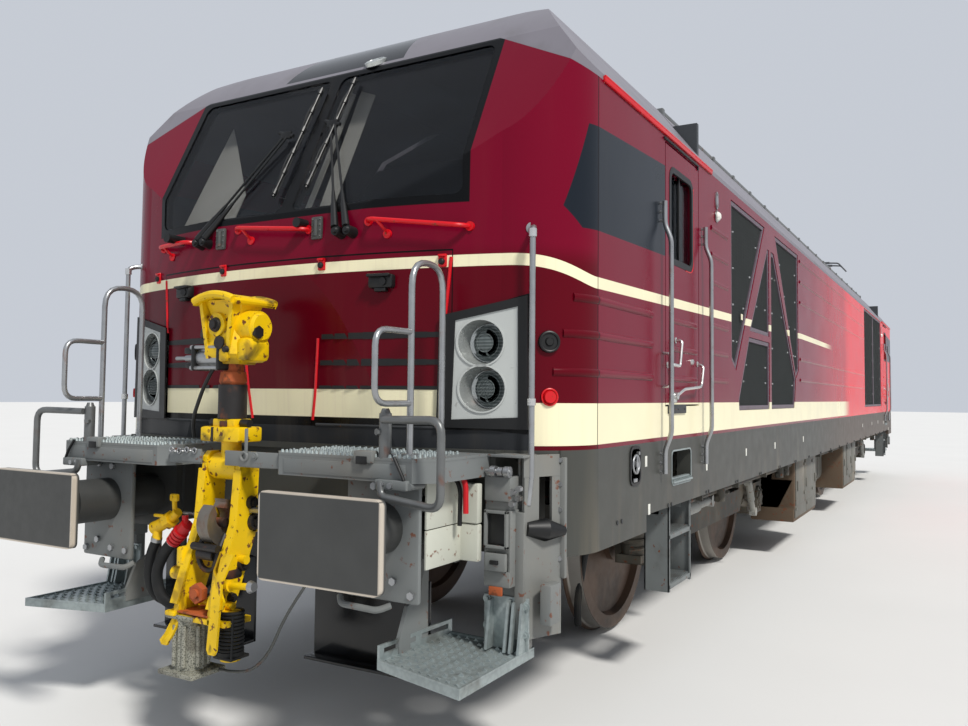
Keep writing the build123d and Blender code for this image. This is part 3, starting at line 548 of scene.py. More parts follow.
def brake_steel():
    """Mill-grey steel with streaks."""
    f = Finish("brake_steel", roughness=0.34, metallic=0.85)
    paint = f.shade(linear(176, 178, 180), f.noise(11.0, 6.0, (1.0, 0.2, 1.0)), 0.62, 1.08)
    f.colour(f.blend(f.rise(f.noise(8.0, 8.0), 0.58, 0.7), paint, linear(84, 76, 66)))
    f.rough(f.between(f.noise(17.0, 5.0), 0.24, 0.52))
    f.bump(f.noise(120.0, 4.0), 0.12, 0.0008)
    return f.material


def speckled_paint():
    """Rough cast surface with pale and dark grains."""
    f = Finish("speckled_paint", roughness=0.6, metallic=0.2)
    grain = f.rise(f.cells(140.0), 0.25, 0.55)
    paint = f.blend(grain, linear(84, 84, 76), linear(150, 150, 138))
    dirt = f.rise(f.noise(9.0, 6.0), 0.5, 0.72)
    f.colour(f.blend(f.math("MULTIPLY", dirt, 0.6), paint, linear(66, 58, 46)))
    f.rough(f.between(f.noise(20.0, 5.0), 0.45, 0.75))
    f.bump(f.noise(160.0, 3.0), 0.3, 0.001)
    return f.material


# Colour in 0 to 255, then dust, roughness, chips and specular level
PAINTS = {
    "apron_grey": ((52, 54, 56), 0.12, 0.5, 0.1),
    "cream_mark": ((238, 230, 200), 0.05, 0.45),
    "cock_red": ((190, 16, 26), 0.05, 0.35, 0.2, 0.4),
    "fitting_yellow": ((236, 190, 10), 0.12, 0.42, 0.5, 0.4),
    "drum_grey": ((150, 152, 148), 0.3, 0.5, 0.3),
    "box_grey": ((104, 104, 98), 0.45, 0.55, 0.2),
    "box_brown": ((96, 80, 64), 0.55, 0.6, 0.5),
    "orange_rust": ((168, 84, 44), 0.25, 0.6, 0.8),
    "platform_grey": ((116, 120, 120), 0.3, 0.48, 0.3),
    "box_light": ((192, 194, 182), 0.22, 0.5, 0.4),
}

# Colour, then roughness, rust and metallic level
STEELS = {
    "rail_steel": ((118, 121, 124), 0.3, 0.05, 0.75),
    "hinge_grey": ((84, 86, 84), 0.45, 0.1, 0.4),
    "bowl_silver": ((196, 200, 198), 0.26, 0.0, 0.7),
    "rivet_grey": ((132, 134, 132), 0.4, 0.05, 0.5),
    "rail_paint": ((112, 114, 114), 0.36, 0.12, 0.5),
    "chrome_dull": ((164, 166, 168), 0.28, 0.04, 0.75),
    "frame_purple": ((112, 96, 108), 0.42, 0.05, 0.4),
    "dark_iron": ((52, 50, 50), 0.45, 0.35, 0.6),
}

# Colour, then roughness
PLASTICS = {
    "cab_plastic": ((62, 66, 70),),
    "black_plastic": ((18, 19, 20), 0.45),
    "blade_rubber": ((24, 25, 26), 0.4),
    "mesh_wire": ((58, 62, 62), 0.6),
    "blind_white": ((226, 226, 218), 0.55),
    "screen_black": ((10, 12, 15), 0.2),
}


def build_finishes():
    """One material for each named finish and each slot of the frame."""
    finishes = {
        "body_paint": crimson_livery(),
        "roof_grey": roof_paint(),
        "frame_grey": skirt_paint(),
        "glass": tinted_glass(),
        "lamp_grey": lamp_panel(),
        "buffer_steel": buffer_finish(),
        "signal_yellow": coupler_yellow(),
        "bare_steel": worn_steel("hook_steel", linear(128, 122, 114), 0.42, 0.55),
        "step_grey": platform_finish(),
        "bogie_grey": dusty_paint("bogie_paint", linear(74, 72, 66), 0.45, 0.62, 0.5),
        "grille_black": mesh_screen(),
        "engine_iron": dusty_paint("engine_paint", linear(96, 102, 104), 0.2),
        "wheel_steel": wheel_finish(),
        "axle_steel": worn_steel("axle_finish", linear(96, 84, 74), 0.5, 0.8, 0.4),
        "panto_grey": dusty_paint("pantograph_paint", linear(88, 90, 94), 0.2, 0.5, 0.2),
        # Crimson in its sunlit tone for the red trims: painted sunlight
        "sun_red": dusty_paint("crimson_in_painted_sun", linear(206, 8, 24), 0.05, 0.3, 0.1, 0.4),
        "lens_glass": lens_glass(),
        "hose_rubber": hose_rubber(),
        "galvanised": grating_finish(),
        "chrome": worn_steel("chrome_bar", linear(214, 214, 212), 0.22, 0.0, 0.85),
        "brake_steel": brake_steel(),
        "speckled_grey": speckled_paint(),
    }
    for build, rows in ((dusty_paint, PAINTS), (worn_steel, STEELS), (moulded_plastic, PLASTICS)):
        for name, (colour, *values) in rows.items():
            finishes[name] = build(name, linear(*colour), *values)
    return finishes


FINISHES = {}


def add_box(bm, low, high, bevel=0.0, segments=2):
    """Box between two corners with rounded edges."""
    made = bmesh.ops.create_cube(bm, size=1.0)["verts"]
    low, high = Vector(low), Vector(high)
    bmesh.ops.scale(bm, vec=high - low, verts=made)
    bmesh.ops.translate(bm, vec=(low + high) / 2, verts=made)
    if bevel > 0.0:
        edges = list({edge for vert in made for edge in vert.link_edges})
        made = bmesh.ops.bevel(bm, geom=edges, offset=bevel, offset_type="OFFSET", segments=segments,
                               profile=0.5, affect="EDGES", material=-1)["verts"]
    return made


def add_rod(bm, start, end, radius, segments=16, tip=None):
    """Round bar or cone between two points."""
    start, end = Vector(start), Vector(end)
    along = end - start
    turn = along.to_track_quat("Z", "Y").to_matrix().to_4x4()
    place = Matrix.Translation((start + end) / 2) @ turn
    return bmesh.ops.create_cone(bm, cap_ends=True, segments=segments, radius1=radius,
                                 radius2=radius if tip is None else tip, depth=along.length,
                                 matrix=place)["verts"]


def add_pipe(bm, points, radius, bend=0.03, sides=3):
    """Tube along straight runs with rounded corners."""
    data = bpy.data.curves.new("pipe", "CURVE")
    data.dimensions = "3D"
    data.bevel_depth = radius
    data.bevel_resolution = sides
    data.use_fill_caps = True
    route = rounded([Vector(point) for point in points], bend)
    spline = data.splines.new("POLY")
    spline.points.add(len(route) - 1)
    for point, at in zip(spline.points, route):
        point.co = (*at, 1.0)
    holder = bpy.data.objects.new("pipe", data)
    mesh = bpy.data.meshes.new_from_object(holder)
    bm.from_mesh(mesh)
    bpy.data.objects.remove(holder)
    bpy.data.curves.remove(data)
    bpy.data.meshes.remove(mesh)


def rounded(points, bend, steps=5):
    """Path with each inner corner replaced by a short arc."""
    path = [points[0]]
    for before, corner, after in zip(points, points[1:], points[2:]):
        into, out = (before - corner), (after - corner)
        reach = min(bend, into.length * 0.49, out.length * 0.49)
        first, last = corner + into.normalized() * reach, corner + out.normalized() * reach
        for step in range(steps + 1):
            t = step / steps
            path.append(first.lerp(corner, t).lerp(corner.lerp(last, t), t))
    path.append(points[-1])
    return path


def add_plate(bm, outline, shift):
    """Flat outline of points pushed along a vector."""
    corners = [bm.verts.new(point) for point in outline]
    face = bm.faces.new(corners)
    made = bmesh.ops.extrude_face_region(bm, geom=[face])
    pushed = [item for item in made["geom"] if isinstance(item, bmesh.types.BMVert)]
    bmesh.ops.translate(bm, vec=shift, verts=pushed)
    return corners + pushed


def add_bolt(bm, at, along, radius, height):
    """Hexagon head standing on a surface."""
    at, along = Vector(at), Vector(along).normalized()
    add_rod(bm, at - along * height * 0.3, at + along * height, radius, 6)


def add_ring(bm, centre, axis, radius, tube, segments=24):
    """Round ring made by spinning a small circle."""
    centre, axis = Vector(centre), Vector(axis).normalized()
    side = axis.orthogonal().normalized()
    spot = Matrix.Translation(centre + side * radius)
    turn = side.cross(axis).to_track_quat("Z", "Y").to_matrix().to_4x4()
    loop = bmesh.ops.create_circle(bm, segments=8, radius=tube, matrix=spot @ turn)["verts"]
    edges = list({edge for vert in loop for edge in vert.link_edges})
    bmesh.ops.spin(bm, geom=loop + edges, cent=centre, axis=axis, angle=math.tau, steps=segments,
                   use_merge=True, use_duplicate=False)


def copy_across(bm):
    """Adds the same shapes mirrored to the other side."""
    geom = bm.verts[:] + bm.edges[:] + bm.faces[:]
    made = bmesh.ops.duplicate(bm, geom=geom)["geom"]
    verts = [item for item in made if isinstance(item, bmesh.types.BMVert)]
    faces = [item for item in made if isinstance(item, bmesh.types.BMFace)]
    bmesh.ops.scale(bm, vec=(1.0, -1.0, 1.0), verts=verts)
    bmesh.ops.reverse_faces(bm, faces=faces)


def copy_to_rear(bm):
    """Adds the same shapes turned to the other end."""
    geom = bm.verts[:] + bm.edges[:] + bm.faces[:]
    made = bmesh.ops.duplicate(bm, geom=geom)["geom"]
    verts = [item for item in made if isinstance(item, bmesh.types.BMVert)]
    bmesh.ops.rotate(bm, verts=verts, cent=(0, 0, 0), matrix=Matrix.Rotation(math.pi, 3, "Z"))


def finish_piece(name, bm, finish, body="carbody", smooth=True):
    """Turns a shape, built in heights above the rail, into a piece that rides on its body."""
    bmesh.ops.remove_doubles(bm, verts=bm.verts[:], dist=1e-6)
    bmesh.ops.translate(bm, vec=(0.0, 0.0, RAIL), verts=bm.verts[:])
    bmesh.ops.recalc_face_normals(bm, faces=bm.faces[:])
    mesh = bpy.data.meshes.new(name)
    bm.to_mesh(mesh)
    bm.free()
    piece = bpy.data.objects.new(name, mesh)
    bpy.context.scene.collection.objects.link(piece)
    mesh.materials.append(finish)
    if smooth:
        for face in mesh.polygons:
            face.use_smooth = True
        mesh.set_sharp_from_angle(angle=math.radians(35))
    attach(piece, body)
    return piece


def nose_x(y, height):
    """Forward reach of the cab skin at a width and a height above the rail."""
    y = abs(y)
    if y < TOUCH_Y:
        plan = BOW_X + math.sqrt(BOW_R ** 2 - y ** 2)
    else:
        plan = CORNER_X + math.sqrt(max(CORNER_R ** 2 - (y - CORNER_Y) ** 2, 0.0))
    for (low, x_low), (high, x_high) in zip(NOSE_PROFILE, NOSE_PROFILE[1:]):
        if height <= high:
            share = max(0.0, (height - low) / (high - low))
            return min(plan, x_low + (x_high - x_low) * share)
    return min(plan, NOSE_PROFILE[-1][1])


def on_nose(y, height, out=0.0):
    """Point on the cab skin, or a little in front of it."""
    return Vector((nose_x(y, height) + out, y, height))


def add_block(bm, centre, size, bevel=0.0, turn_z=0.0, tilt_y=0.0):
    """Rounded box about a centre, turned about Z and tilted about Y."""
    made = bmesh.ops.create_cube(bm, size=1.0)["verts"]
    bmesh.ops.scale(bm, vec=size, verts=made)
    if bevel > 0.0:
        edges = list({edge for vert in made for edge in vert.link_edges})
        faces = bmesh.ops.bevel(bm, geom=edges, offset=bevel, offset_type="OFFSET", segments=2, profile=0.5,
                                affect="EDGES", material=-1)["faces"]
        made = list({vert for face in faces for vert in face.verts})
    turn = Matrix.Rotation(turn_z, 4, "Z") @ Matrix.Rotation(tilt_y, 4, "Y")
    bmesh.ops.transform(bm, matrix=Matrix.Translation(Vector(centre)) @ turn, verts=made)


def add_frame(bm, outer, inner, shift):
    """Flat ring between two outlines of equal length, pushed along a vector."""
    loops = []
    for outline in (outer, inner):
        verts = [bm.verts.new(point) for point in outline]
        loops += [bm.edges.new((a, b)) for a, b in zip(verts, verts[1:] + verts[:1])]
    faces = bmesh.ops.bridge_loops(bm, edges=loops)["faces"]
    made = bmesh.ops.extrude_face_region(bm, geom=faces)
    pushed = [item for item in made["geom"] if isinstance(item, bmesh.types.BMVert)]
    bmesh.ops.translate(bm, vec=shift, verts=pushed)


def rounded_outline(x, z, radius, y, steps=5):
    """Corner points of an upright opening with round corners, at one depth."""
    points = []
    corners = ((x[1], z[1], 0.0), (x[0], z[1], 90.0), (x[0], z[0], 180.0), (x[1], z[0], 270.0))
    for corner_x, corner_z, start in corners:
        middle_x = corner_x + (radius if corner_x == x[0] else -radius)
        middle_z = corner_z + (radius if corner_z == z[0] else -radius)
        for step in range(steps + 1):
            angle = math.radians(start + 90.0 * step / steps)
            points.append((middle_x + radius * math.cos(angle), y, middle_z + radius * math.sin(angle)))
    return points


def spread(low, high, pitch):
    """Even places from low to high, about a pitch apart."""
    count = max(1, round((high - low) / pitch))
    return [low + (high - low) * step / count for step in range(count + 1)]


def make(shape, finish, sides=True, ends=True, body="carbody"):
    """Builds a piece at cab 1's left side, copied to the other side and end where asked."""
    bm = bmesh.new()
    shape(bm)
    if sides:
        copy_across(bm)
    if ends:
        copy_to_rear(bm)
    return finish_piece(shape.__name__, bm, FINISHES[finish], body)


def make_at_doors(shape, finish):
    """Builds a piece on each of the four cab doors."""
    places = (("front_left", 1.0, False), ("front_right", -1.0, False), ("rear_right", 1.0, True),
              ("rear_left", -1.0, True))
    for door, side, turned in places:
        bm = bmesh.new()
        shape(bm)
        place_copy(bm, side, turned)
        finish_piece(shape.__name__ + "_" + door, bm, FINISHES[finish], "door_" + door)


def make_at_ends(shape, finish, bodies, sides=False, node=None):
    """Builds a piece on a moving body at each end."""
    for turned, body in enumerate(bodies):
        bm = bmesh.new()
        shape(bm)
        if sides:
            copy_across(bm)
        place_copy(bm, 1.0, bool(turned))
        end = "_rear" if turned else "_front"
        piece = finish_piece(shape.__name__ + end, bm, FINISHES[finish], body)
        if node:
            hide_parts(node + end)


def place_copy(bm, side, turned):
    if side < 0.0:
        bmesh.ops.scale(bm, vec=(1.0, -1.0, 1.0), verts=bm.verts[:])
        bmesh.ops.reverse_faces(bm, faces=bm.faces[:])
    if turned:
        bmesh.ops.rotate(bm, verts=bm.verts[:], cent=(0, 0, 0), matrix=Matrix.Rotation(math.pi, 3, "Z"))


class LOCO_OT_nose(bpy.types.Operator):
    """Handholds, hinge plates, stripe clips and cameras on the nose"""
    bl_idname = "loco.nose"
    bl_label = "Nose"

    def execute(self, context):
        # The red handholds, lips, clips and caps are given the sunlit crimson: painted sunlight
        make(nose_handholds, "sun_red", sides=False)
        make(nose_edges, "sun_red")
        make(nose_groove_shadows, "black_plastic")
        make(nose_clips, "sun_red", sides=False)
        make(nose_clip_bolts, "black_plastic", sides=False)
        make(nose_hinges, "hinge_grey", sides=False)
        make(nose_cameras, "black_plastic", sides=False)
        make(corner_sockets, "black_plastic")
        make(corner_caps, "sun_red")
        make(apron_ledges, "apron_grey", sides=False)
        return {"FINISHED"}


# Handholds as (y, height) of one end and the other
HANDHOLDS = (((-0.987, 2.417), (-0.656, 2.417)), ((-0.305, 2.45), (0.181, 2.41)), ((0.538, 2.42),
        (1.038, 2.37)))
CLIP_Y = (-1.045, -0.399, 0.277, 0.913)
HINGE_Y = (-0.421, 0.238)


def nose_handholds(bm):
    for (y0, h0), (y1, h1) in HANDHOLDS:
        inset = 0.045
        add_pipe(bm, [on_nose(y0, h0, -0.01), on_nose(y0 + 0.012, h0, 0.03), on_nose(y0 + inset, h0, 0.056),
                      on_nose(y1 - inset, h1, 0.056), on_nose(y1 - 0.012, h1, 0.03), on_nose(y1, h1, -0.01)],
                 0.0115, 0.025)
        stay_y = y0 + 0.1
        stay_h = h0 + (h1 - h0) * 0.1 / (y1 - y0)
        add_pipe(bm, [on_nose(stay_y, stay_h - 0.055, -0.01), on_nose(stay_y, stay_h - 0.03, 0.04),
                      on_nose(stay_y - 0.02, stay_h, 0.056)], 0.008, 0.02)
        for y, h in ((y0, h0), (y1, h1), (stay_y, stay_h - 0.055)):
            add_rod(bm, on_nose(y, h, -0.006), on_nose(y, h, 0.008), 0.022)


def nose_edges(bm):
    """Raised lips along the hood's slanted edge and beside the lamp, in sunlit crimson: a painted highlight.
    """
    for run in (((0.248, 1.872), (0.223, 1.62), (0.201, 1.474)), ((0.952, 2.233), (0.925, 1.935))):
        for (y0, h0), (y1, h1) in zip(run, run[1:]):
            add_rod(bm, on_nose(y0, h0, -0.001), on_nose(y1, h1, -0.001), 0.0085, 8)


def nose_groove_shadows(bm):
    """Black strips laid over the hood's outer halves and the gap above the cream band: painted shade where
    the pressed grooves lie in shadow.
    """
    for height, start in ((1.878, 0.275), (1.752, 0.262), (1.634, 0.25)):
        for step in range(8):
            y = start + (0.925 - start) * (step + 0.5) / 8
            tall = 0.016 if height < 1.7 else 0.034 - 0.01 * abs(step - 3.5) / 3.5
            turn = math.asin(y / BOW_R)
            add_block(bm, on_nose(y, height, 0.0005), (0.004, (0.925 - start) / 8 + 0.002, tall), 0.0, turn)


def clip_height(y):
    return 2.236 - 0.02 * y


def nose_clips(bm):
    for y in CLIP_Y:
        h = clip_height(y)
        turn = -math.asin(y / BOW_R)
        add_block(bm, on_nose(y, h, 0.002), (0.014, 0.042, 0.062), 0.006, -turn)
        add_block(bm, on_nose(y, h + 0.022, 0.01), (0.02, 0.036, 0.012), 0.004, -turn)


def nose_clip_bolts(bm):
    for y in CLIP_Y:
        h = clip_height(y)
        add_rod(bm, on_nose(y, h - 0.006, 0.0), on_nose(y, h - 0.006, 0.017), 0.015, 20)
        add_rod(bm, on_nose(y, h - 0.006, 0.016), on_nose(y, h - 0.006, 0.021), 0.015, 20, 0.009)


def nose_hinges(bm):
    """Grey riveted plates over the hinges of the upper flap."""
    for y in HINGE_Y:
        centre = on_nose(y, 2.412, 0.008)
        add_block(bm, centre, (0.018, 0.066, 0.112), 0.007)
        add_rod(bm, centre + Vector((0.01, 0.0, -0.04)), centre + Vector((0.01, 0.0, 0.04)), 0.011)
        for dy in (-0.023, 0.023):
            for dz in (-0.042, -0.014, 0.014, 0.042):
                spot = centre + Vector((0.009, dy, dz))
                add_rod(bm, spot, spot + Vector((0.004, 0.0, 0.0)), 0.006, 10, 0.003)


def nose_cameras(bm):
    """Black camera housings with a hooded window."""
    for y, h in ((0.619, 2.13), (-0.727, 2.15)):
        turn = math.asin(y / BOW_R)
        add_block(bm, on_nose(y, h, 0.01), (0.05, 0.128, 0.066), 0.012, turn)
        add_block(bm, on_nose(y, h + 0.026, 0.034), (0.04, 0.12, 0.014), 0.005, turn)
        add_rod(bm, on_nose(y + 0.022, h - 0.004, 0.03), on_nose(y + 0.022, h - 0.004, 0.044), 0.019, 20)
        add_block(bm, on_nose(y, h - 0.04, 0.016), (0.034, 0.06, 0.018), 0.005, turn)


def corner_out(y, height, out):
    """Point in front of the round corner, straight out from it."""
    spot = on_nose(y, height)
    away = Vector((spot.x - CORNER_X, abs(spot.y) - CORNER_Y, 0.0)).normalized()
    return spot + away * out


def corner_sockets(bm):
    """Round filler caps on the cab corner."""
    add_rod(bm, corner_out(1.375, 1.843, -0.01), corner_out(1.375, 1.843, 0.01), 0.05, 32)
    add_ring(bm, corner_out(1.375, 1.843, 0.01), corner_out(1.375, 1.843, 1.0) - corner_out(1.375, 1.843,
            0.0), 0.043, 0.007, 32)
    add_rod(bm, corner_out(1.375, 1.843, 0.008), corner_out(1.375, 1.843, 0.018), 0.022, 24, 0.016)


def corner_caps(bm):
    add_rod(bm, corner_out(1.378, 1.597, -0.012), corner_out(1.378, 1.597, 0.02), 0.034, 28, 0.026)
    add_ring(bm, corner_out(1.378, 1.597, 0.004), corner_out(1.378, 1.597, 1.0) - corner_out(1.378, 1.597,
            0.0), 0.036, 0.005, 28)


def apron_ledges(bm):
    """Shallow ledge along the apron below the cream band."""
    for side in (1.0, -1.0):
        places = spread(0.22, 0.9, 0.075)
        for y0, y1 in zip(places, places[1:]):
            a, b = on_nose(side * y0, 1.452, -0.004), on_nose(side * y1, 1.452, -0.004)
            add_rod(bm, a, b, 0.009, 8)


class LOCO_OT_lamps(bpy.types.Operator):
    """Lenses and rims in the headlamp bowls, and the top lamp behind the brow glass"""
    bl_idname = "loco.lamps"
    bl_label = "Lamps"

    def execute(self, context):
        stands_for(make(lamp_faces, "lamp_grey"), "headlamps_front", "headlamps_rear")
        make(lamp_bowls, "bowl_silver")
        make(lamp_lenses, "lens_glass")
        make(lamp_frames, "black_plastic")
        make(brow_lamp, "bowl_silver", sides=False)
        return {"FINISHED"}


# Bowl centres and panel corners as (y, height above the rail); the panel lies on one plane
LAMP_BOWLS = ((1.096, 1.839), (1.104, 1.631))
LAMP_OUTLINE = ((0.968, 1.492), (0.982, 1.94), (1.26, 2.0), (1.264, 1.505))
BOWL_R = 0.103
LENS_R = 0.082


def lamp_at(y, height, out=0.0):
    """Point on the slanted lamp panel, or in front of it."""
    return Vector((NOSE_X - 0.078 - 0.295 * (y - 0.88) + out, y, height))


def circle_at(centre, radius, out, count=40):
    y, height = centre
    return [lamp_at(y + radius * math.cos(math.tau * k / count),
                    height + radius * math.sin(math.tau * k / count), out) for k in range(count)]


def lamp_faces(bm):
    """Light panel with the two round openings."""
    edges = []
    circles = [circle_at(bowl, BOWL_R, 0.0) for bowl in LAMP_BOWLS]
    for points in ([lamp_at(y, h) for y, h in LAMP_OUTLINE], *circles):
        verts = [bm.verts.new(point) for point in points]
        edges += [bm.edges.new((a, b)) for a, b in zip(verts, verts[1:] + verts[:1])]
    made = bmesh.ops.triangle_fill(bm, use_beauty=True, edges=edges)["geom"]
    faces = [item for item in made if isinstance(item, bmesh.types.BMFace)]
    made = bmesh.ops.extrude_face_region(bm, geom=faces)["geom"]
    pushed = [item for item in made if isinstance(item, bmesh.types.BMVert)]
    bmesh.ops.translate(bm, vec=(-0.02, 0.0, 0.0), verts=pushed)
    for bowl in LAMP_BOWLS:
        add_frame(bm, circle_at(bowl, BOWL_R + 0.006, 0.001), circle_at(bowl, BOWL_R - 0.001, 0.001),
                  (0.005, 0.0, 0.0))


def lamp_bowls(bm):
    """Bright walls that taper from the panel back to each lens."""
    for y, h in LAMP_BOWLS:
        back = (y + 0.006, h)
        rings = [circle_at((y, h), BOWL_R, -0.004), circle_at(back, LENS_R + 0.006, -0.064),
                 circle_at(back, LENS_R + 0.01, -0.069), circle_at((y, h), BOWL_R + 0.004, -0.006)]
        loops = [[bm.verts.new(point) for point in ring] for ring in rings]
        for low, high in zip(loops, loops[1:] + loops[:1]):
            for k in range(40):
                bm.faces.new((low[k], low[(k + 1) % 40], high[(k + 1) % 40], high[k]))
        add_plate(bm, circle_at(back, LENS_R + 0.008, -0.07), (-0.006, 0.0, 0.0))


def lamp_lenses(bm):
    """Dark lenses with rings, the lower one dotted."""
    for y, h in LAMP_BOWLS:
        base = lamp_at(y + 0.006, h, -0.07)
        out = Vector((1.0, 0.0, 0.0))
        add_rod(bm, base, base + out * 0.018, LENS_R, 36)
        add_rod(bm, base + out * 0.018, base + out * 0.04, LENS_R * 0.9, 36, LENS_R * 0.62)
        add_rod(bm, base + out * 0.04, base + out * 0.046, LENS_R * 0.62, 36, LENS_R * 0.3)
        for radius, lift in ((LENS_R, 0.018), (LENS_R * 0.78, 0.029), (LENS_R * 0.5, 0.044)):
            add_ring(bm, base + out * lift, (1, 0, 0), radius, 0.0026, 32)
    y, h = LAMP_BOWLS[1]
    base = lamp_at(y + 0.006, h, -0.026)
    for ring, count in ((0.01, 5), (0.022, 11), (0.034, 16)):
        for step in range(count):
            angle = math.tau * step / count
            spot = base + Vector((0.0, ring * math.cos(angle), ring * math.sin(angle)))
            add_rod(bm, spot, spot + Vector((0.008, 0, 0)), 0.0036, 6, 0.0024)


def lamp_frames(bm):
    """Black frame round the panel, with the dark housing behind it."""
    outer = ((0.902, 1.456), (0.912, 1.962), (1.3, 2.048), (1.308, 1.452))
    points = [[lamp_at(y, h, -0.004) for y, h in corners] for corners in (outer, LAMP_OUTLINE)]
    add_frame(bm, points[0], points[1], (0.01, 0.0, 0.0))
    add_box(bm, (8.46, 0.908, 1.474), (8.5, 1.242, 1.946), 0.004)


def brow_lamp(bm):
    """Top lamp: a round reflector under the glazed brow panel."""
    for y in (0.225,):
        centre = Vector((8.322, y, 3.408))
        along = Vector((0.55, 0.0, 0.83)).normalized()
        add_rod(bm, centre - along * 0.012, centre + along * 0.006, 0.062, 32)
        add_ring(bm, centre + along * 0.006, along, 0.05, 0.005, 32)
        add_rod(bm, centre + along * 0.004, centre + along * 0.012, 0.034, 24, 0.018)


class LOCO_OT_wipers(bpy.types.Operator):
    """Two wipers with paired arms, boots and blades"""
    bl_idname = "loco.wipers"
    bl_label = "Wipers"

    def execute(self, context):
        make(wiper_arms, "black_plastic", sides=False)
        make(wiper_blades, "blade_rubber", sides=False)
        return {"FINISHED"}


# Hub on the nose, outer end of the arms, upper and lower end of the blade
WIPERS = (
    ((-0.56, 2.395), (8.562, -0.185, 2.996), (8.425, -0.059, 3.279), (8.748, -0.097, 2.613)),
    ((0.42, 2.37), (8.553, 0.126, 3.015), (8.415, 0.162, 3.299), (8.736, 0.114, 2.638)),
)


def wiper_arms(bm):
    for (y, h), end, head, foot in WIPERS:
        end = Vector((end[0], end[1], end[2]))
        for shift in (-0.032, 0.032):
            hub = on_nose(y + shift, h)
            out = hub + Vector((0.052, 0.0, 0.01))
            add_rod(bm, hub - Vector((0.02, 0, 0)), out, 0.03, 20, 0.024)
            add_rod(bm, out, out + Vector((0.012, 0.0, 0.0)), 0.018, 20, 0.012)
            tip = end + Vector((0.0, shift * 0.45, 0.0))
            along = (tip - out).normalized()
            add_rod(bm, out, tip, 0.0065, 10)
            add_rod(bm, out + along * 0.02, out + along * 0.17, 0.019, 14, 0.015)
            add_rod(bm, out + along * 0.17, out + along * 0.26, 0.013, 14, 0.008)
        add_block(bm, end, (0.02, 0.07, 0.04), 0.006)
        add_rod(bm, end + Vector((0.0, -0.05, 0.02)), end + Vector((0.0, 0.05, -0.01)), 0.01, 12)


def wiper_blades(bm):
    for hub, end, head, foot in WIPERS:
        head, foot = Vector((head[0], head[1], head[2])), Vector((foot[0], foot[1], foot[2]))
        along = (head - foot).normalized()
        away = Vector((0.9, 0.0, 0.437))
        add_rod(bm, foot, head, 0.0075, 10)
        add_rod(bm, foot - away * 0.014, head - away * 0.014, 0.0045, 8)
        length = (head - foot).length
        for share in (0.04, 0.22, 0.4, 0.6, 0.78, 0.96):
            spot = foot + along * length * share
            add_rod(bm, spot - along * 0.016, spot + along * 0.016, 0.0125, 10)
        for low, high in ((0.1, 0.46), (0.54, 0.9)):
            a, b = foot + along * length * low, foot + along * length * high
            middle = (a + b) / 2 + away * 0.022
            add_pipe(bm, [a, middle, b], 0.0045, 0.06)


class LOCO_OT_sides(bpy.types.Operator):
    """Gutter strips, horn plates, valve recesses and small wall fittings"""
    bl_idname = "loco.sides"
    bl_label = "Side fittings"

    def execute(self, context):
        make(gutter_strips, "sun_red")
        make(drip_strips, "black_plastic")
        make(horn_plates, "brake_steel")
        make(side_lamps, "blind_white")
        make(threshold_plates, "apron_grey")
        make(valve_recesses, "black_plastic")
        make(valve_handles, "brake_steel")
        make(foothold_edges, "galvanised")
        make(side_markers, "blind_white")
        make(skirt_bolts, "apron_grey")
        return {"FINISHED"}


WALL_Y = 1.506


def gutter_strips(bm):
    """Bright strip along the roof joint above the cab side, in sunlit crimson: a painted highlight."""
    z = 3.118
    add_block(bm, (7.255, WALL_Y + 0.004, z), (1.94, 0.016, 0.03), 0.005)
    add_block(bm, (7.255, WALL_Y + 0.01, z + 0.012), (1.94, 0.008, 0.01), 0.003)


def drip_strips(bm):
    add_block(bm, (6.96, WALL_Y + 0.004, 3.082), (0.7, 0.014, 0.012), 0.004)
    add_block(bm, (6.617, WALL_Y + 0.003, 3.07), (0.014, 0.012, 0.032), 0.003)


def horn_plates(bm):
    """Oval plate with four bolts behind the cab door."""
    centre = (6.15, WALL_Y, 2.955)
    outline = [(centre[0] + 0.03 * math.cos(math.tau * k / 24),
                WALL_Y - 0.002, centre[2] + 0.062 * math.sin(math.tau * k / 24)) for k in range(24)]
    add_plate(bm, outline, (0.0, 0.01, 0.0))
    for dx, dz in ((-0.012, 0.04), (0.012, 0.04), (-0.012, -0.04), (0.012, -0.04)):
        add_bolt(bm, (centre[0] + dx, WALL_Y + 0.008, centre[2] + dz), (0, 1, 0), 0.006, 0.005)
    add_ring(bm, (6.15, WALL_Y + 0.004, 2.845), (0, 1, 0), 0.036, 0.006, 28)


def side_lamps(bm):
    """Small domed lamp below the plate."""
    x, z = 6.15, 2.845
    add_rod(bm, (x, WALL_Y, z), (x, WALL_Y + 0.018, z), 0.034, 28, 0.03)
    add_rod(bm, (x, WALL_Y + 0.018, z), (x, WALL_Y + 0.03, z), 0.03, 28, 0.018)


def threshold_plates(bm):
    """Dark sill plate below the door, with its screws."""
    add_block(bm, (7.07, WALL_Y + 0.004, 1.533), (0.335, 0.014, 0.05), 0.004)
    for x in (6.94, 7.07, 7.2):
        add_rod(bm, (x, WALL_Y + 0.008, 1.533), (x, WALL_Y + 0.015, 1.533), 0.007, 12, 0.004)


def valve_recesses(bm):
    """Rounded box let into the skirt, with a round valve inside."""
    y = WALL_Y + 0.001
    outer = rounded_outline((7.7, 7.86), (1.15, 1.35), 0.045, y - 0.004)
    inner = rounded_outline((7.714, 7.846), (1.164, 1.336), 0.034, y - 0.004)
    add_frame(bm, outer, inner, (0.0, 0.01, 0.0))
    add_plate(bm, inner, (0.0, 0.003, 0.0))


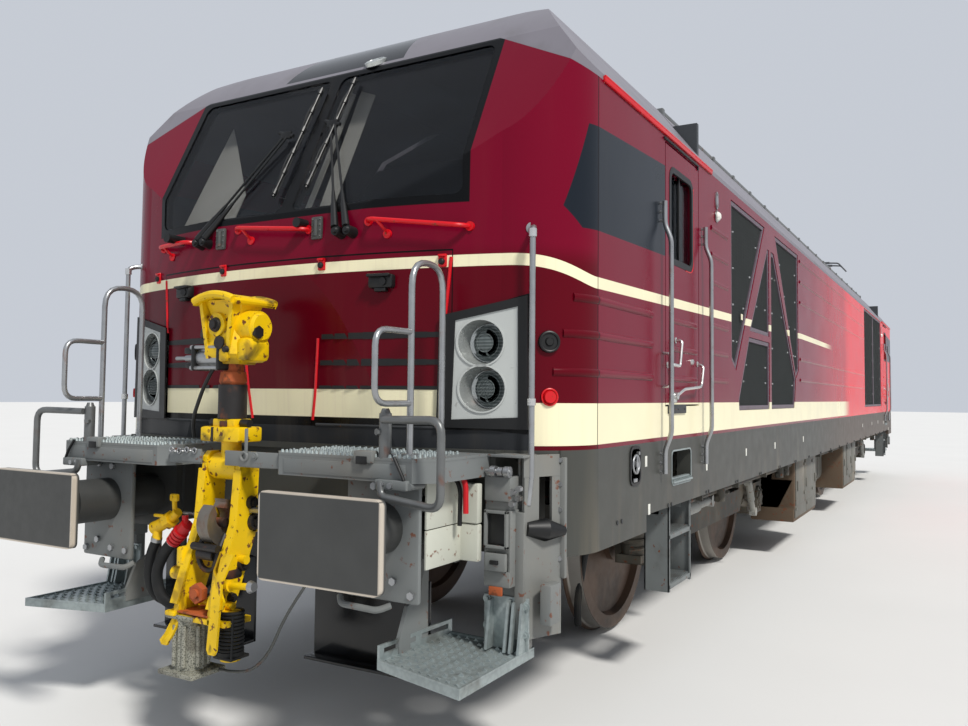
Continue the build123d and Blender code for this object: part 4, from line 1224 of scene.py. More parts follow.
def valve_handles(bm):
    y = WALL_Y
    add_ring(bm, (7.78, y + 0.008, 1.258), (0, 1, 0), 0.046, 0.006, 28)
    add_rod(bm, (7.78, y - 0.004, 1.258), (7.78, y + 0.016, 1.258), 0.018, 20)
    add_block(bm, (7.78, y + 0.012, 1.258), (0.012, 0.012, 0.1), 0.004)
    add_block(bm, (7.8, y + 0.01, 1.178), (0.05, 0.01, 0.02), 0.004)
    add_rod(bm, (7.745, y, 1.312), (7.745, y + 0.014, 1.312), 0.01, 12)


def foothold_edges(bm):
    """Bright toothed tread at the sill of the foothold."""
    for dz, dy in ((0.0, 0.0), (0.018, -0.02)):
        add_block(bm, (6.97, WALL_Y + 0.0 + dy, 1.112 + dz), (0.376, 0.03, 0.012), 0.003)
    for x in spread(6.8, 7.14, 0.022):
        add_block(bm, (x, WALL_Y - 0.01, 1.12), (0.006, 0.04, 0.016), 0.0)
    add_frame(bm, rounded_outline((6.772, 7.168), (1.092, 1.298), 0.036, WALL_Y - 0.001),
              rounded_outline((6.781, 7.159), (1.101, 1.289), 0.029, WALL_Y - 0.001), (0.0, 0.004, 0.0))


def side_markers(bm):
    """Plain white blocks that mark lifting points."""
    for x, height in ((7.61, 1.262), (6.42, 1.158), (7.56, 1.005), (5.3, 1.19), (4.2, 1.19), (2.75, 1.19)):
        add_block(bm, (x, WALL_Y + 0.001, height), (0.03, 0.004, 0.056), 0.001)


def skirt_bolts(bm):
    """Bolt heads in pairs along the lower edge of the skirt."""
    for x in spread(-8.0, 8.0, 0.8):
        for dx in (-0.03, 0.03):
            add_bolt(bm, (x + dx, WALL_Y - 0.001, 0.992), (0, 1, 0), 0.011, 0.006)


class LOCO_OT_doors(bpy.types.Operator):
    """Glass, seals, handles and locks of the four cab doors"""
    bl_idname = "loco.doors"
    bl_label = "Cab doors"

    def execute(self, context):
        make_at_doors(door_glass, "glass")
        make_at_doors(door_seal, "black_plastic")
        make_at_doors(door_slider, "blind_white")
        make_at_doors(door_lip, "sun_red")
        make_at_doors(door_handles, "chrome")
        make_at_doors(door_edge, "black_plastic")
        make(wall_handles, "chrome")
        return {"FINISHED"}


DOOR_X = (6.6, 7.27)
WINDOW_X = (6.742, 7.18)
WINDOW_Z = (2.4, 2.93)


def door_glass(bm):
    """Two sliding panes, one behind the other."""
    middle = 0.5 * (WINDOW_X[0] + WINDOW_X[1])
    for x, y in (((WINDOW_X[0] - 0.008, middle + 0.02), 1.478),
                 ((middle - 0.02, WINDOW_X[1] + 0.008), 1.464)):
        outline = rounded_outline(x, (WINDOW_Z[0] - 0.008, WINDOW_Z[1] + 0.008), 0.05, y)
        add_plate(bm, outline, (0.0, 0.005, 0.0))


def door_seal(bm):
    """Rubber seal filling the step round the window, with the pane's centre bar."""
    outer = rounded_outline((WINDOW_X[0] - 0.0235, WINDOW_X[1] + 0.0235),
                            (WINDOW_Z[0] - 0.0235, WINDOW_Z[1] + 0.0235), 0.08, WALL_Y - 0.0098)
    inner = rounded_outline((WINDOW_X[0] + 0.012, WINDOW_X[1] - 0.012),
                            (WINDOW_Z[0] + 0.012, WINDOW_Z[1] - 0.012), 0.05, WALL_Y - 0.0098)
    add_frame(bm, outer, inner, (0.0, 0.0125, 0.0))
    middle = 0.5 * (WINDOW_X[0] + WINDOW_X[1])
    add_block(bm, (middle, 1.486, 0.5 * (WINDOW_Z[0] + WINDOW_Z[1])), (0.018, 0.016, 0.53), 0.004)
    add_block(bm, (middle, 1.478, WINDOW_Z[0] + 0.012), (0.43, 0.03, 0.024), 0.004)


def door_slider(bm):
    """White roller blind half drawn behind the front pane."""
    x0, x1 = 7.02, 7.12
    outline = [(x0, 1.452, 2.445), (x1, 1.452, 2.435), (x1, 1.452, 2.7), (x0, 1.452, 2.78)]
    add_plate(bm, outline, (0.0, 0.006, 0.0))


def door_lip(bm):
    """Painted edge that shows at the rear and foot of the seal, in sunlit crimson: a painted highlight of the
    sunlit reveal.
    """
    z0, z1 = WINDOW_Z[0] - 0.027, WINDOW_Z[1] - 0.02
    x = WINDOW_X[0] - 0.027
    add_pipe(bm, [(x, WALL_Y - 0.001, z1), (x, WALL_Y - 0.001, z0), (x + 0.16, WALL_Y - 0.001, z0)],
             0.0042, 0.085)


def door_handles(bm):
    """Upright lever, long bent handle and the lock between them."""
    y = WALL_Y + 0.042
    add_pipe(bm, [(7.094, WALL_Y - 0.006, 1.935), (7.096, y, 1.93), (7.14, y, 1.782), (7.246, y, 1.786),
                  (7.248, WALL_Y - 0.006, 1.786)], 0.0095, 0.018)
    add_pipe(bm, [(6.64, WALL_Y - 0.006, 1.812), (6.641, y, 1.8), (6.69, y, 1.668), (7.05, y, 1.65),
                  (7.15, y - 0.012, 1.612)], 0.009, 0.035)
    add_rod(bm, (7.15, WALL_Y - 0.002, 1.61), (7.15, WALL_Y + 0.036, 1.61), 0.026, 24, 0.02)
    add_block(bm, (7.165, WALL_Y + 0.01, 1.6), (0.09, 0.024, 0.06), 0.008)
    add_rod(bm, (6.76, WALL_Y - 0.002, 1.822), (6.76, WALL_Y + 0.012, 1.822), 0.02, 24, 0.016)
    add_rod(bm, (6.76, WALL_Y + 0.01, 1.822), (6.76, WALL_Y + 0.016, 1.822), 0.008, 12)
    for x, h in ((7.094, 1.935), (7.248, 1.786), (6.64, 1.812)):
        add_rod(bm, (x, WALL_Y - 0.003, h), (x, WALL_Y + 0.006, h), 0.018, 20)


def door_edge(bm):
    """Rubber edge round the leaf."""
    z0, z1 = 1.56, 3.06
    outer = rounded_outline((DOOR_X[0] - 0.003, DOOR_X[1] + 0.003), (z0 - 0.003, z1 + 0.003), 0.006, 1.48, 2)
    inner = rounded_outline((DOOR_X[0] + 0.0005, DOOR_X[1] - 0.0005), (z0 + 0.0005, z1 - 0.0005),
                            0.006, 1.48, 2)
    add_frame(bm, outer, inner, (0.0, 0.022, 0.0))


def wall_handles(bm):
    """Short upright handle in front of the door."""
    y = WALL_Y + 0.04
    add_pipe(bm, [(7.32, WALL_Y - 0.004, 1.85), (7.32, y, 1.845), (7.32, y, 1.665),
                  (7.32, WALL_Y - 0.004, 1.66)], 0.0085, 0.016)


class LOCO_OT_grilles(bpy.types.Operator):
    """Wire mesh, rivets and catches on the side screens, and stripe marks on the posts"""
    bl_idname = "loco.grilles"
    bl_label = "Side screens"

    def execute(self, context):
        make(grille_wires, "mesh_wire", sides=False)
        make(grille_rivets, "rivet_grey", sides=False)
        make(grille_studs, "brake_steel", sides=False)
        make(post_marks, "cream_mark", sides=False)
        return {"FINISHED"}


# Outlines of the screens, (x from the middle of the slanted group, height above the rail)
GROUP_X = CAB_BACK - 1.99
OUTER_PANEL = ((0.21, 3.05), (1.38, 3.05), (1.38, 1.88), (1.24, 1.8))
INNER_PANEL = ((0.04, 2.88), (0.11, 2.88), (0.79, 2.13), (0.04, 2.13))
INNER_DOOR = ((0.04, 2.08), (0.81, 2.08), (1.165, 1.59), (1.15, 1.51), (0.04, 1.51))
LONG_DOOR = ((-0.04, 2.88), (-0.17, 2.88), (-1.22, 1.79), (-1.15, 1.51), (-0.04, 1.51))
REAR_SCREEN_X = (-CAB_BACK + 0.3, -CAB_BACK + 3.2)
REAR_SCREEN_H = (1.48, 3.1)


def screen_outlines():
    """Every screen of one side as (x, z) points."""
    mirrored = tuple((-x, h) for x, h in OUTER_PANEL)
    group = (OUTER_PANEL, mirrored, INNER_PANEL, INNER_DOOR, LONG_DOOR)
    outlines = [[(GROUP_X + x, h) for x, h in outline] for outline in group]
    (x0, x1), (h0, h1) = REAR_SCREEN_X, REAR_SCREEN_H
    for step in range(2):
        a, b = x0 + (x1 - x0) * step / 2, x0 + (x1 - x0) * (step + 1) / 2
        outlines.append([(a, h0), (b, h0), (b, h1), (a, h1)])
    return outlines


def crossing(outline, level, axis):
    """Where a level line crosses an outline: its lowest and highest place along the other axis."""
    hits = []
    for a, b in zip(outline, outline[1:] + outline[:1]):
        if (a[axis] - level) * (b[axis] - level) < 0.0:
            share = (level - a[axis]) / (b[axis] - a[axis])
            hits.append(a[1 - axis] + share * (b[1 - axis] - a[1 - axis]))
    return (min(hits), max(hits)) if len(hits) >= 2 else None


def grille_wires(bm):
    """Thin square wires both ways, inside each frame."""
    y, inset, half = 1.4865, 0.034, 0.0016
    for outline in screen_outlines():
        for axis, pitch in ((1, 0.024), (0, 0.024)):
            low = min(point[axis] for point in outline) + inset
            high = max(point[axis] for point in outline) - inset
            for level in spread(low, high, pitch):
                span = crossing(outline, level, axis)
                if span is None or span[1] - span[0] < 3.0 * inset:
                    continue
                a, b = span[0] + inset * 1.15, span[1] - inset * 1.15
                size = (b - a, 0.0035, 2 * half) if axis == 1 else (2 * half, 0.0035, b - a)
                centre = ((a + b) / 2, y, level) if axis == 1 else (level, y + 0.003, (a + b) / 2)
                add_block(bm, centre, size)


def grille_rivets(bm):
    """Close row of screws along every frame."""
    for outline in screen_outlines():
        middle_x = sum(point[0] for point in outline) / len(outline)
        middle_z = sum(point[1] for point in outline) / len(outline)
        for (x0, z0), (x1, z1) in zip(outline, outline[1:] + outline[:1]):
            length = math.hypot(x1 - x0, z1 - z0)
            if length < 0.12:
                continue
            normal = Vector((z1 - z0, x0 - x1)) / length
            if normal.dot(Vector((middle_x - x0, middle_z - z0))) < 0.0:
                normal = -normal
            for place in spread(0.05, length - 0.05, 0.072):
                x = x0 + (x1 - x0) * place / length + normal.x * 0.017
                z = z0 + (z1 - z0) * place / length + normal.y * 0.017
                add_rod(bm, (x, 1.499, z), (x, 1.5045, z), 0.0052, 6, 0.003)


def grille_studs(bm):
    """Bright catches spaced over the fields and at the corners."""
    for outline in screen_outlines():
        low = min(point[1] for point in outline)
        high = max(point[1] for point in outline)
        for level in spread(low + 0.22, high - 0.22, 0.3):
            span = crossing(outline, level, 1)
            if span is None or span[1] - span[0] < 0.3:
                continue
            for x in (span[0] + 0.11, span[1] - 0.11):
                add_rod(bm, (x, 1.484, level), (x, 1.497, level), 0.01, 12, 0.006)


def post_marks(bm):
    """The waist stripe where it crosses the slanted posts."""
    for x, height, width in ((GROUP_X + 1.06, 2.215, 0.05), (GROUP_X - 0.86, 2.232, 0.055)):
        add_block(bm, (x, WALL_Y + 0.001, height), (width, 0.003, 0.044))


class LOCO_OT_ends(bpy.types.Operator):
    """Steps, columns, decks, rails and coupler castings at both ends"""
    bl_idname = "loco.ends"
    bl_label = "End gear"

    def execute(self, context):
        arms = ("coupler_arm_front", "coupler_arm_rear")
        stands_for(make(end_columns, "platform_grey"), "end_steps_front", "end_steps_rear")
        make(end_treads, "galvanised")
        make(tread_points, "galvanised")
        stands_for(make(hand_loops, "chrome_dull"), "grab_rails_front", "grab_rails_rear")
        make(buffer_rails, "rail_paint")
        stands_for(make(end_decks, "platform_grey"), "end_platform_front", "end_platform_rear")
        stands_for(make(coupler_cheeks, "signal_yellow", sides=False),
                   "coupler_frame_front", "coupler_frame_rear")
        stands_for(make(hook_bills, "bare_steel", sides=False),
                   "draw_hook_front", "draw_hook_rear")
        make_at_ends(coupler_body, "signal_yellow", arms, node="coupler_arm")
        return {"FINISHED"}


def stands_for(piece, *nodes):
    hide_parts(*nodes)
    return piece


COLUMN = ((8.59, 8.74), (1.168, 1.296))
TREAD = ((8.56, 0.89), (9.085, 0.865), (9.215, 1.34), (8.59, 1.34))


def add_prism(bm, outline, low, high):
    """Plan outline of (x, y) points between two heights above the rail."""
    add_plate(bm, [(x, y, low) for x, y in outline], (0.0, 0.0, high - low))


def end_columns(bm):
    """Hollow corner column, slotted corner plate, hangers and the pocket box."""
    (x0, x1), (y0, y1) = COLUMN
    add_box(bm, (x0, y0, 1.148), (x1, y1, 1.254), 0.006)
    add_box(bm, (x0, y0, 1.105), (x1 - 0.012, y1 - 0.008, 1.148), 0.002)
    add_box(bm, (x0, y0, 0.784), (x1, y1, 0.853), 0.006)
    add_box(bm, (x0, y0, 0.845), (x0 + 0.03, y1, 1.11), 0.002)
    for y in (y0, y1 - 0.012):
        add_box(bm, (x0, y, 0.845), (x1 - 0.004, y + 0.012, 1.11), 0.002)
    add_box(bm, (x0, y0 + 0.01, 0.928), (x1 - 0.006, y1 - 0.01, 0.952), 0.002)
    for y in (y0, y1 - 0.01):
        add_box(bm, (x0, y, 1.25), (x0 + 0.06, y + 0.01, 1.345), 0.002)
    add_box(bm, (x0, y0, 1.335), (x1 - 0.02, y1 + 0.05, 1.347), 0.002)
    outline = [(8.482, 1.403), (8.672, 1.318), (8.684, 1.331), (8.488, 1.4196)]
    add_prism(bm, outline, 0.56, 1.0)
    add_prism(bm, outline, 1.25, 1.345)
    for a, b in (((8.482, 1.403), (8.53, 1.3815)), ((8.6, 1.35), (8.672, 1.318))):
        add_prism(bm, [a, b, (b[0] + 0.006, b[1] + 0.014), (a[0] + 0.006, a[1] + 0.0165)], 1.0, 1.25)
    add_box(bm, (8.64, y1 - 0.004, 0.56), (8.69, 1.336, 1.1), 0.003)
    add_box(bm, (8.6, y0 + 0.01, 0.5), (8.66, y1 + 0.04, 0.79), 0.003)
    add_plate(bm, [(8.74, 0.868, 0.503), (8.96, 0.868, 0.503), (8.96, 0.868, 0.56), (8.9, 0.868, 0.69),
                   (8.8, 0.868, 0.74), (8.769, 0.868, 0.86), (8.769, 0.868, 0.98), (8.74, 0.868, 0.98)],
              (0.0, 0.018, 0.0))
    add_box(bm, (8.56, 1.398, 0.63), (8.66, 1.452, 0.8), 0.008)


def end_treads(bm):
    """Galvanised tread tray, slotted guard and the ribbed bracket behind it."""
    add_prism(bm, TREAD, 0.47, 0.503)
    middle = Vector((sum(x for x, y in TREAD) / 4, sum(y for x, y in TREAD) / 4))
    inner = [middle + (Vector(point) - middle) * 0.955 for point in TREAD]
    outer3 = [(x, y, 0.502) for x, y in TREAD]
    add_frame(bm, outer3, [(p.x, p.y, 0.502) for p in inner], (0.0, 0.0, 0.01))
    along = Vector((9.085 - 8.56, 0.865 - 0.89)).normalized()
    for low, high, spans in ((0.51, 0.53, ((0.0, 0.525),)), (0.552, 0.568, ((0.0, 0.525),)),
                             (0.53, 0.552, ((0.0, 0.03), (0.235, 0.275), (0.495, 0.525)))):
        for a, b in spans:
            start, end = Vector(TREAD[0]) + along * a, Vector(TREAD[0]) + along * b
            add_prism(bm, [start, end, (end.x, end.y + 0.011), (start.x, start.y + 0.011)], low, high)
    y0, y1 = COLUMN[1]
    add_box(bm, (8.658, y0 - 0.035, 0.51), (8.67, y1 + 0.055, 0.735), 0.003)
    for y in (y0 + 0.002, y0 + 0.092, y1 - 0.01, y1 + 0.03):
        add_plate(bm, [(8.668, y, 0.512), (8.735, y, 0.512), (8.725, y, 0.56), (8.7, y, 0.715),
                       (8.668, y, 0.725)], (0.0, 0.012, 0.0))
    for y, z in ((y0 - 0.018, 0.715), (y0 - 0.018, 0.6), (y1 + 0.043, 0.7), (y1 + 0.043, 0.58)):
        add_rod(bm, (8.668, y, z), (8.676, y, z), 0.019, 18)
        add_bolt(bm, (8.676, y, z), (1, 0, 0), 0.012, 0.011)


def tread_points(bm):
    """Rows of raised three-cornered teeth on the tread."""
    corner = Vector(TREAD[0])
    right, front = Vector(TREAD[3]) - corner, Vector(TREAD[1]) - corner
    far = Vector(TREAD[2])
    for i in range(11):
        for j in range(9):
            u, v = (i + 0.65) / 11.4, (j + 0.65) / 9.4
            low = corner.lerp(Vector(TREAD[1]), u)
            high = Vector(TREAD[3]).lerp(far, u)
            at = low.lerp(high, v)
            s = 0.015
            ring = [bm.verts.new((at.x + dx * s, at.y + dy * s, 0.503)) for dx, dy in ((1, -0.9), (1, 0.9),
                    (-1, 0))]
            top = bm.verts.new((at.x + 0.9 * s, at.y, 0.516))
            bm.faces.new(ring)
            for a, b in zip(ring, ring[1:] + ring[:1]):
                bm.faces.new((a, b, top))


def hand_loops(bm):
    """Tall loop at the deck corner, loop reaching forward and the corner post."""
    back, front, y, foot = NOSE_X + 0.014, NOSE_X + 0.252, 0.99, 1.345
    add_pipe(bm, [(front, y, foot), (front, y, 2.164), (back, y, 2.164), (back, y, foot)], 0.014, 0.11, 4)
    far = NOSE_X + 0.48
    add_pipe(bm, [(front, y, 1.565), (far, y - 0.014, 1.565), (far, y - 0.014, 1.862), (front, y, 1.862)],
             0.013, 0.07, 4)
    for x in (back, front):
        add_rod(bm, (x, y, 1.346), (x, y, 1.358), 0.036, 20)
    post_x, post_y = 8.642, 1.345
    add_pipe(bm, [(8.567, 1.302, 2.352), (8.6, 1.33, 2.352), (post_x, post_y, 2.335), (post_x, post_y, 1.25),
                  (post_x + 0.01, post_y - 0.01, 1.13)], 0.0135, 0.03, 4)
    add_rod(bm, (8.566, 1.3, 2.352), (8.578, 1.31, 2.352), 0.028, 20)


def buffer_rails(bm):
    """Bent rail round the buffer and its post."""
    add_pipe(bm, [(9.185, 0.95, 1.5), (9.235, 1.26, 1.505), (9.235, 1.26, 1.165), (9.205, 0.96, 1.195),
                  (9.2, 0.95, 1.255)], 0.0165, 0.06, 4)
    add_rod(bm, (9.155, 0.94, 1.345), (9.155, 0.94, 1.525), 0.026, 24)
    add_rod(bm, (9.155, 0.94, 1.525), (9.155, 0.94, 1.545), 0.022, 24, 0.014)
    add_bolt(bm, (9.175, 0.925, 1.45), (1, -0.4, 0), 0.014, 0.016)


def end_decks(bm):
    """Folded deck with chamfered corners, ribs below and the bar to the coupler."""
    x0, x1 = 8.7, NOSE_X + 0.38
    plan = [(x0, 0.33), (x1 - 0.06, 0.33), (x1, 0.39), (x1, 1.09), (x1 - 0.08, 1.17), (x0, 1.17)]
    add_prism(bm, plan, 1.334, 1.347)
    skin = [(x1 - 0.06, 0.33), (x1, 0.39), (x1, 1.09), (x1 - 0.08, 1.17), (x0, 1.17)]
    for (ax, ay), (bx, by) in zip(skin, skin[1:]):
        off = Vector((by - ay, ax - bx)).normalized() * -0.008
        add_prism(bm, [(ax, ay), (bx, by), (bx + off.x, by + off.y), (ax + off.x, ay + off.y)], 1.25, 1.335)
    add_box(bm, (x0, 0.33, 1.25), (x1 - 0.06, 0.338, 1.335), 0.002)
    for y in (0.56, 0.84):
        add_box(bm, (x0, y, 1.262), (x1 - 0.01, y + 0.01, 1.335), 0.002)
    add_box(bm, (FOLD_X + 0.025, 0.124, 1.268), (FOLD_X + 0.075, 0.335, 1.326), 0.004)
    add_box(bm, (x1 - 0.002, 0.42, 1.262), (x1 + 0.004, 1.06, 1.322), 0.002)


def coupler_cheeks(bm):
    """Leaning cheeks, arms, rods, cylinder and foot plate of the coupler frame."""
    edge = [(-0.06, 1.318), (-0.034, 1.33), (0.036, 1.33), (0.06, 1.304), (0.078, 1.0), (0.205, 0.64),
            (0.205, 0.585), (0.095, 0.585), (-0.046, 0.96)]
    for y in (0.092, -0.122):
        add_plate(bm, [(FOLD_X + x, y, z) for x, z in edge], (0.0, 0.03, 0.0))
        add_box(bm, (8.7, y, 0.96), (FOLD_X - 0.02, y + 0.03, 1.04), 0.004)
    add_rod(bm, (FOLD_X, -0.122, 1.26), (FOLD_X, 0.122, 1.26), 0.026, 24)
    for x, z, radius in ((0.046, 0.85, 0.02), (0.12, 0.66, 0.017)):
        add_rod(bm, (FOLD_X + x, -0.2, z), (FOLD_X + x, 0.16, z), radius, 20)
    add_box(bm, (FOLD_X + 0.05, -0.165, 0.585), (FOLD_X + 0.205, 0.2, 0.612), 0.004)
    add_rod(bm, (FOLD_X + 0.13, -0.084, 0.36), (FOLD_X + 0.13, -0.084, 0.59), 0.076, 8)
    add_rod(bm, (FOLD_X + 0.13, 0.16, 0.43), (FOLD_X + 0.13, 0.16, 0.64), 0.044, 24)


def hook_bills(bm):
    """Open draw hook with a round bill on a flat shank."""
    cx, z = FOLD_X + 0.062, 1.01
    points = []
    for step in range(25):
        angle = math.radians(52.0 - 322.0 * step / 24)
        reach = 0.105
        points.append((cx + reach * math.cos(angle), z + reach * math.sin(angle)))
    for step in range(25):
        angle = math.radians(90.0 + 300.0 * step / 24)
        points.append((cx + 0.01 + 0.044 * math.cos(angle), z + 0.022 + 0.044 * math.sin(angle)))
    points = points[:25] + [(cx - 0.004, z + 0.09)] + points[25:]
    add_plate(bm, [(x, -0.035, h) for x, h in points], (0.0, 0.07, 0.0))
    add_box(bm, (8.7, -0.035, z - 0.06), (cx - 0.06, 0.035, z + 0.055), 0.006)


def coupler_body(bm):
    """Shaft, sleeve, clamp, tapered body, saddle flange, disc and motor of the coupler."""
    add_rod(bm, (FOLD_X, -0.086, 1.26), (FOLD_X, 0.086, 1.26), 0.062, 32)
    add_rod(bm, (FOLD_X, 0, 1.26), (FOLD_X, 0, 1.76), 0.046, 32)
    add_box(bm, (FOLD_X - 0.07, -0.125, 1.376), (FOLD_X + 0.07, 0.125, 1.445), 0.01)
    add_box(bm, (FOLD_X - 0.055, -0.07, 1.44), (FOLD_X + 0.055, 0.07, 1.481), 0.006)
    rings = []
    for height, dx, dy in ((1.735, 0.08, 0.085), (1.78, 0.104, 0.112), (1.9, 0.092, 0.1),
                           (1.96, 0.086, 0.092),
                           (2.03, 0.1, 0.12)):
        ring = [(FOLD_X + sx * (dx - 0.03 * c), sy * (dy - 0.03 * (1 - c)),
                 height) for sx, sy, c in ((1, -1, 1), (1, -1, 0), (1, 1, 0), (1, 1, 1), (-1, 1, 1),
                                           (-1, 1, 0), (-1, -1, 0), (-1, -1, 1))]
        ring = [ring[k] for k in (0, 1, 2, 3, 4, 5, 6, 7)]
        rings.append([bm.verts.new(point) for point in ring])
    for low, high in zip(rings, rings[1:]):
        for k in range(8):
            bm.faces.new((low[k], low[(k + 1) % 8], high[(k + 1) % 8], high[k]))
    bm.faces.new(rings[0])
    bm.faces.new(rings[-1])
    section = []
    for step in range(17):
        y = -0.13 + 0.26 * step / 16
        section.append((y, 2.062 - 0.03 * (y / 0.13) ** 2))
    section += [(0.125, 2.004), (0.112, 2.01)]
    for step in range(1, 12):
        y = 0.112 - 0.224 * step / 12
        section.append((y, 2.036 - 0.026 * (y / 0.112) ** 2))
    section += [(-0.112, 2.01), (-0.125, 2.004)]
    add_plate(bm, [(FOLD_X - 0.14, y, h) for y, h in section], (0.28, 0.0, 0.0))
    add_rod(bm, (FOLD_X, 0.08, 1.905), (FOLD_X, 0.165, 1.905), 0.082, 36, 0.074)


class LOCO_OT_walls(bpy.types.Operator):
    """Side walls with their slanted screens, ribs, handrails and ladders"""
    bl_idname = "loco.walls"
    bl_label = "Walls and screens"

    def execute(self, context):
        stands_for(make(side_walls, "body_paint", sides=False),
                   "side_wall_left", "side_wall_right")
        stands_for(make(screen_fields, "grille_black", sides=False),
                   "side_grilles_left", "side_grilles_right")
        make(screen_frames, "frame_purple", sides=False)
        make(cab_ribs, "body_paint")
        make_at_doors(door_ribs, "body_paint")
        stands_for(make(handrails, "chrome_dull"), "door_steps_front", "door_steps_rear")
        make(ladders, "step_grey")
        return {"FINISHED"}


def fill_outline(bm, outline, holes, y):
    """Flat face at one depth with holes, from (x, z) outlines."""
    edges = []
    for points in (outline, *holes):
        verts = [bm.verts.new((x, y, z)) for x, z in points]
        edges += [bm.edges.new((a, b)) for a, b in zip(verts, verts[1:] + verts[:1])]
    made = bmesh.ops.triangle_fill(bm, use_beauty=True, use_dissolve=False, edges=edges)["geom"]
    return [item for item in made if isinstance(item, bmesh.types.BMFace)]


def side_walls(bm):
    """Left wall sheet between the cabs with openings for the screens."""
    x0, z0, z1 = CAB_BACK - 0.0004, DECK_Z - RAIL, 3.11
    faces = fill_outline(bm, [(-x0, z0), (x0, z0), (x0, z1), (-x0, z1)], wall_openings(), 1.446)
    made = bmesh.ops.extrude_face_region(bm, geom=faces)["geom"]
    pushed = [item for item in made if isinstance(item, bmesh.types.BMVert)]
    bmesh.ops.translate(bm, vec=(0.0, 0.06, 0.0), verts=pushed)
    for height in (2.745, 2.565, 2.382, 2.09, 1.905, 1.72):
        add_rib(bm, CAB_BACK - 0.5, CAB_BACK - 0.06, height)
    for height in (3.0, 2.79, 2.58, 2.0, 1.79):
        add_rib(bm, -CAB_BACK + 3.33, GROUP_X - 1.47, height)


def wall_openings():
    mirrored = tuple((-x, h) for x, h in OUTER_PANEL)
    group = (OUTER_PANEL, mirrored, INNER_PANEL, INNER_DOOR, LONG_DOOR)
    outlines = [[(GROUP_X + x, h) for x, h in outline] for outline in group]
    (x0, x1), (h0, h1) = REAR_SCREEN_X, REAR_SCREEN_H
    outlines.append([(x0, h0), (x1, h0), (x1, h1), (x0, h1)])
    return outlines


def add_rib(bm, x0, x1, height, out=0.01):
    add_pipe(bm, [(x0, WALL_Y - 0.014, height), (x1, WALL_Y - 0.014, height)], 0.014 + out, 0.01, 4)


def grown(outline, amount):
    """Outline moved in or out by the same distance along every edge."""
    middle = Vector((sum(p[0] for p in outline) / len(outline), sum(p[1] for p in outline) / len(outline)))
    lines = []
    for a, b in zip(outline, outline[1:] + outline[:1]):
        a, b = Vector(a), Vector(b)
        normal = Vector((b.y - a.y, a.x - b.x)).normalized()
        if normal.dot(middle - a) > 0.0:
            normal = -normal
        lines.append((a + normal * amount, b + normal * amount))
    points = []
    for (a, b), (c, d) in zip(lines[-1:] + lines[:-1], lines):
        u, w = b - a, d - c
        share = ((c.x - a.x) * w.y - (c.y - a.y) * w.x) / (u.x * w.y - u.y * w.x)
        points.append((a.x + u.x * share, a.y + u.y * share))
    return points


def screen_fields(bm):
    """Sunken field of every screen."""
    for outline in screen_outlines():
        add_plate(bm, [(x, 1.456, z) for x, z in grown(outline, -0.002)], (0.0, 0.028, 0.0))


def screen_frames(bm):
    """Raised frame round every screen."""
    for outline in screen_outlines():
        outer, inner = grown(outline, -0.003), grown(outline, -0.034)
        add_frame(bm, [(x, 1.482, z) for x, z in outer], [(x, 1.482, z) for x, z in inner], (0.0, 0.018, 0.0))


def cab_ribs(bm):
    """Pressed ribs from the door round the cab corner."""
    for degrees, height in ((31.0, 2.05), (39.0, 1.885), (46.0, 1.71)):
        points = [(7.51, WALL_Y - 0.014, height), (8.24, WALL_Y - 0.014, height)]
        for step in range(1, 8):
            angle = math.radians(90.0 - degrees * step / 7)
            reach = CORNER_R - 0.014
            points.append((CORNER_X + reach * math.cos(angle), CORNER_Y + reach * math.sin(angle), height))
        add_pipe(bm, points, 0.025, 0.05, 4)


def door_ribs(bm):
    for height in (2.05, 1.885, 1.71):
        add_rib(bm, 6.65, 7.15, height)


def handrails(bm):
    """Upright rails that jog in to three short feet at each end."""
    for x in (7.37, 6.53):
        near, far = WALL_Y + 0.028, WALL_Y + 0.064
        add_pipe(bm, [(x, near, 2.7), (x, near, 2.57), (x, far, 2.48), (x, far, 1.4), (x, near, 1.31),
                      (x, near, 1.18)], 0.014, 0.03, 4)
        for height in (2.69, 2.64, 2.59, 1.29, 1.24, 1.19):
            add_rod(bm, (x, WALL_Y - 0.004, height), (x, near, height), 0.009, 12)


def ladders(bm):
    """Channel stiles and treads below the cab door."""
    back, front, y0, y1 = 6.69, 7.13, 1.33, 1.48
    for x0, x1, web in ((back, back + 0.022, back), (front - 0.022, front, front - 0.007)):
        add_box(bm, (web, y0, 0.48), (web + 0.007, y1, 0.985), 0.001)
        for y in (y0, y1 - 0.01):
            add_box(bm, (x0, y, 0.48), (x1, y + 0.01, 0.985), 0.001)
        add_box(bm, (x0, y0, 0.92), (x1, 1.42, 1.04), 0.002)
    for z in (0.495, 0.78):
        add_box(bm, (back + 0.005, y0, z), (front - 0.005, y1, z + 0.026), 0.003)
        for x in spread(back + 0.03, front - 0.03, 0.028):
            add_box(bm, (x - 0.004, y0 + 0.012, z + 0.024), (x + 0.004, y1 - 0.012, z + 0.036), 0.0)


class LOCO_OT_underfloor(bpy.types.Operator):
    """Tank, boxes, pipes, springs and dampers"""
    bl_idname = "loco.underfloor"
    bl_label = "Underfloor"

    def execute(self, context):
        stands_for(make(tank_body, "box_grey", sides=False, ends=False), "fuel_tank")
        make(side_boxes, "box_brown")
        make(box_doors, "box_grey")
        make(air_pipes, "bogie_grey")
        for number, body in ((1, "bogie_1"), (2, "bogie_2")):
            make_bogie(coil_springs, number, "bogie_grey", body)
            make_bogie(dampers, number, "drum_grey", body)
            make_bogie(axle_covers, number, "bogie_grey", body)
            make_bogie(sand_pipes, number, "hose_rubber", body)
            make_bogie(brake_units, number, "dark_iron", body)
        return {"FINISHED"}


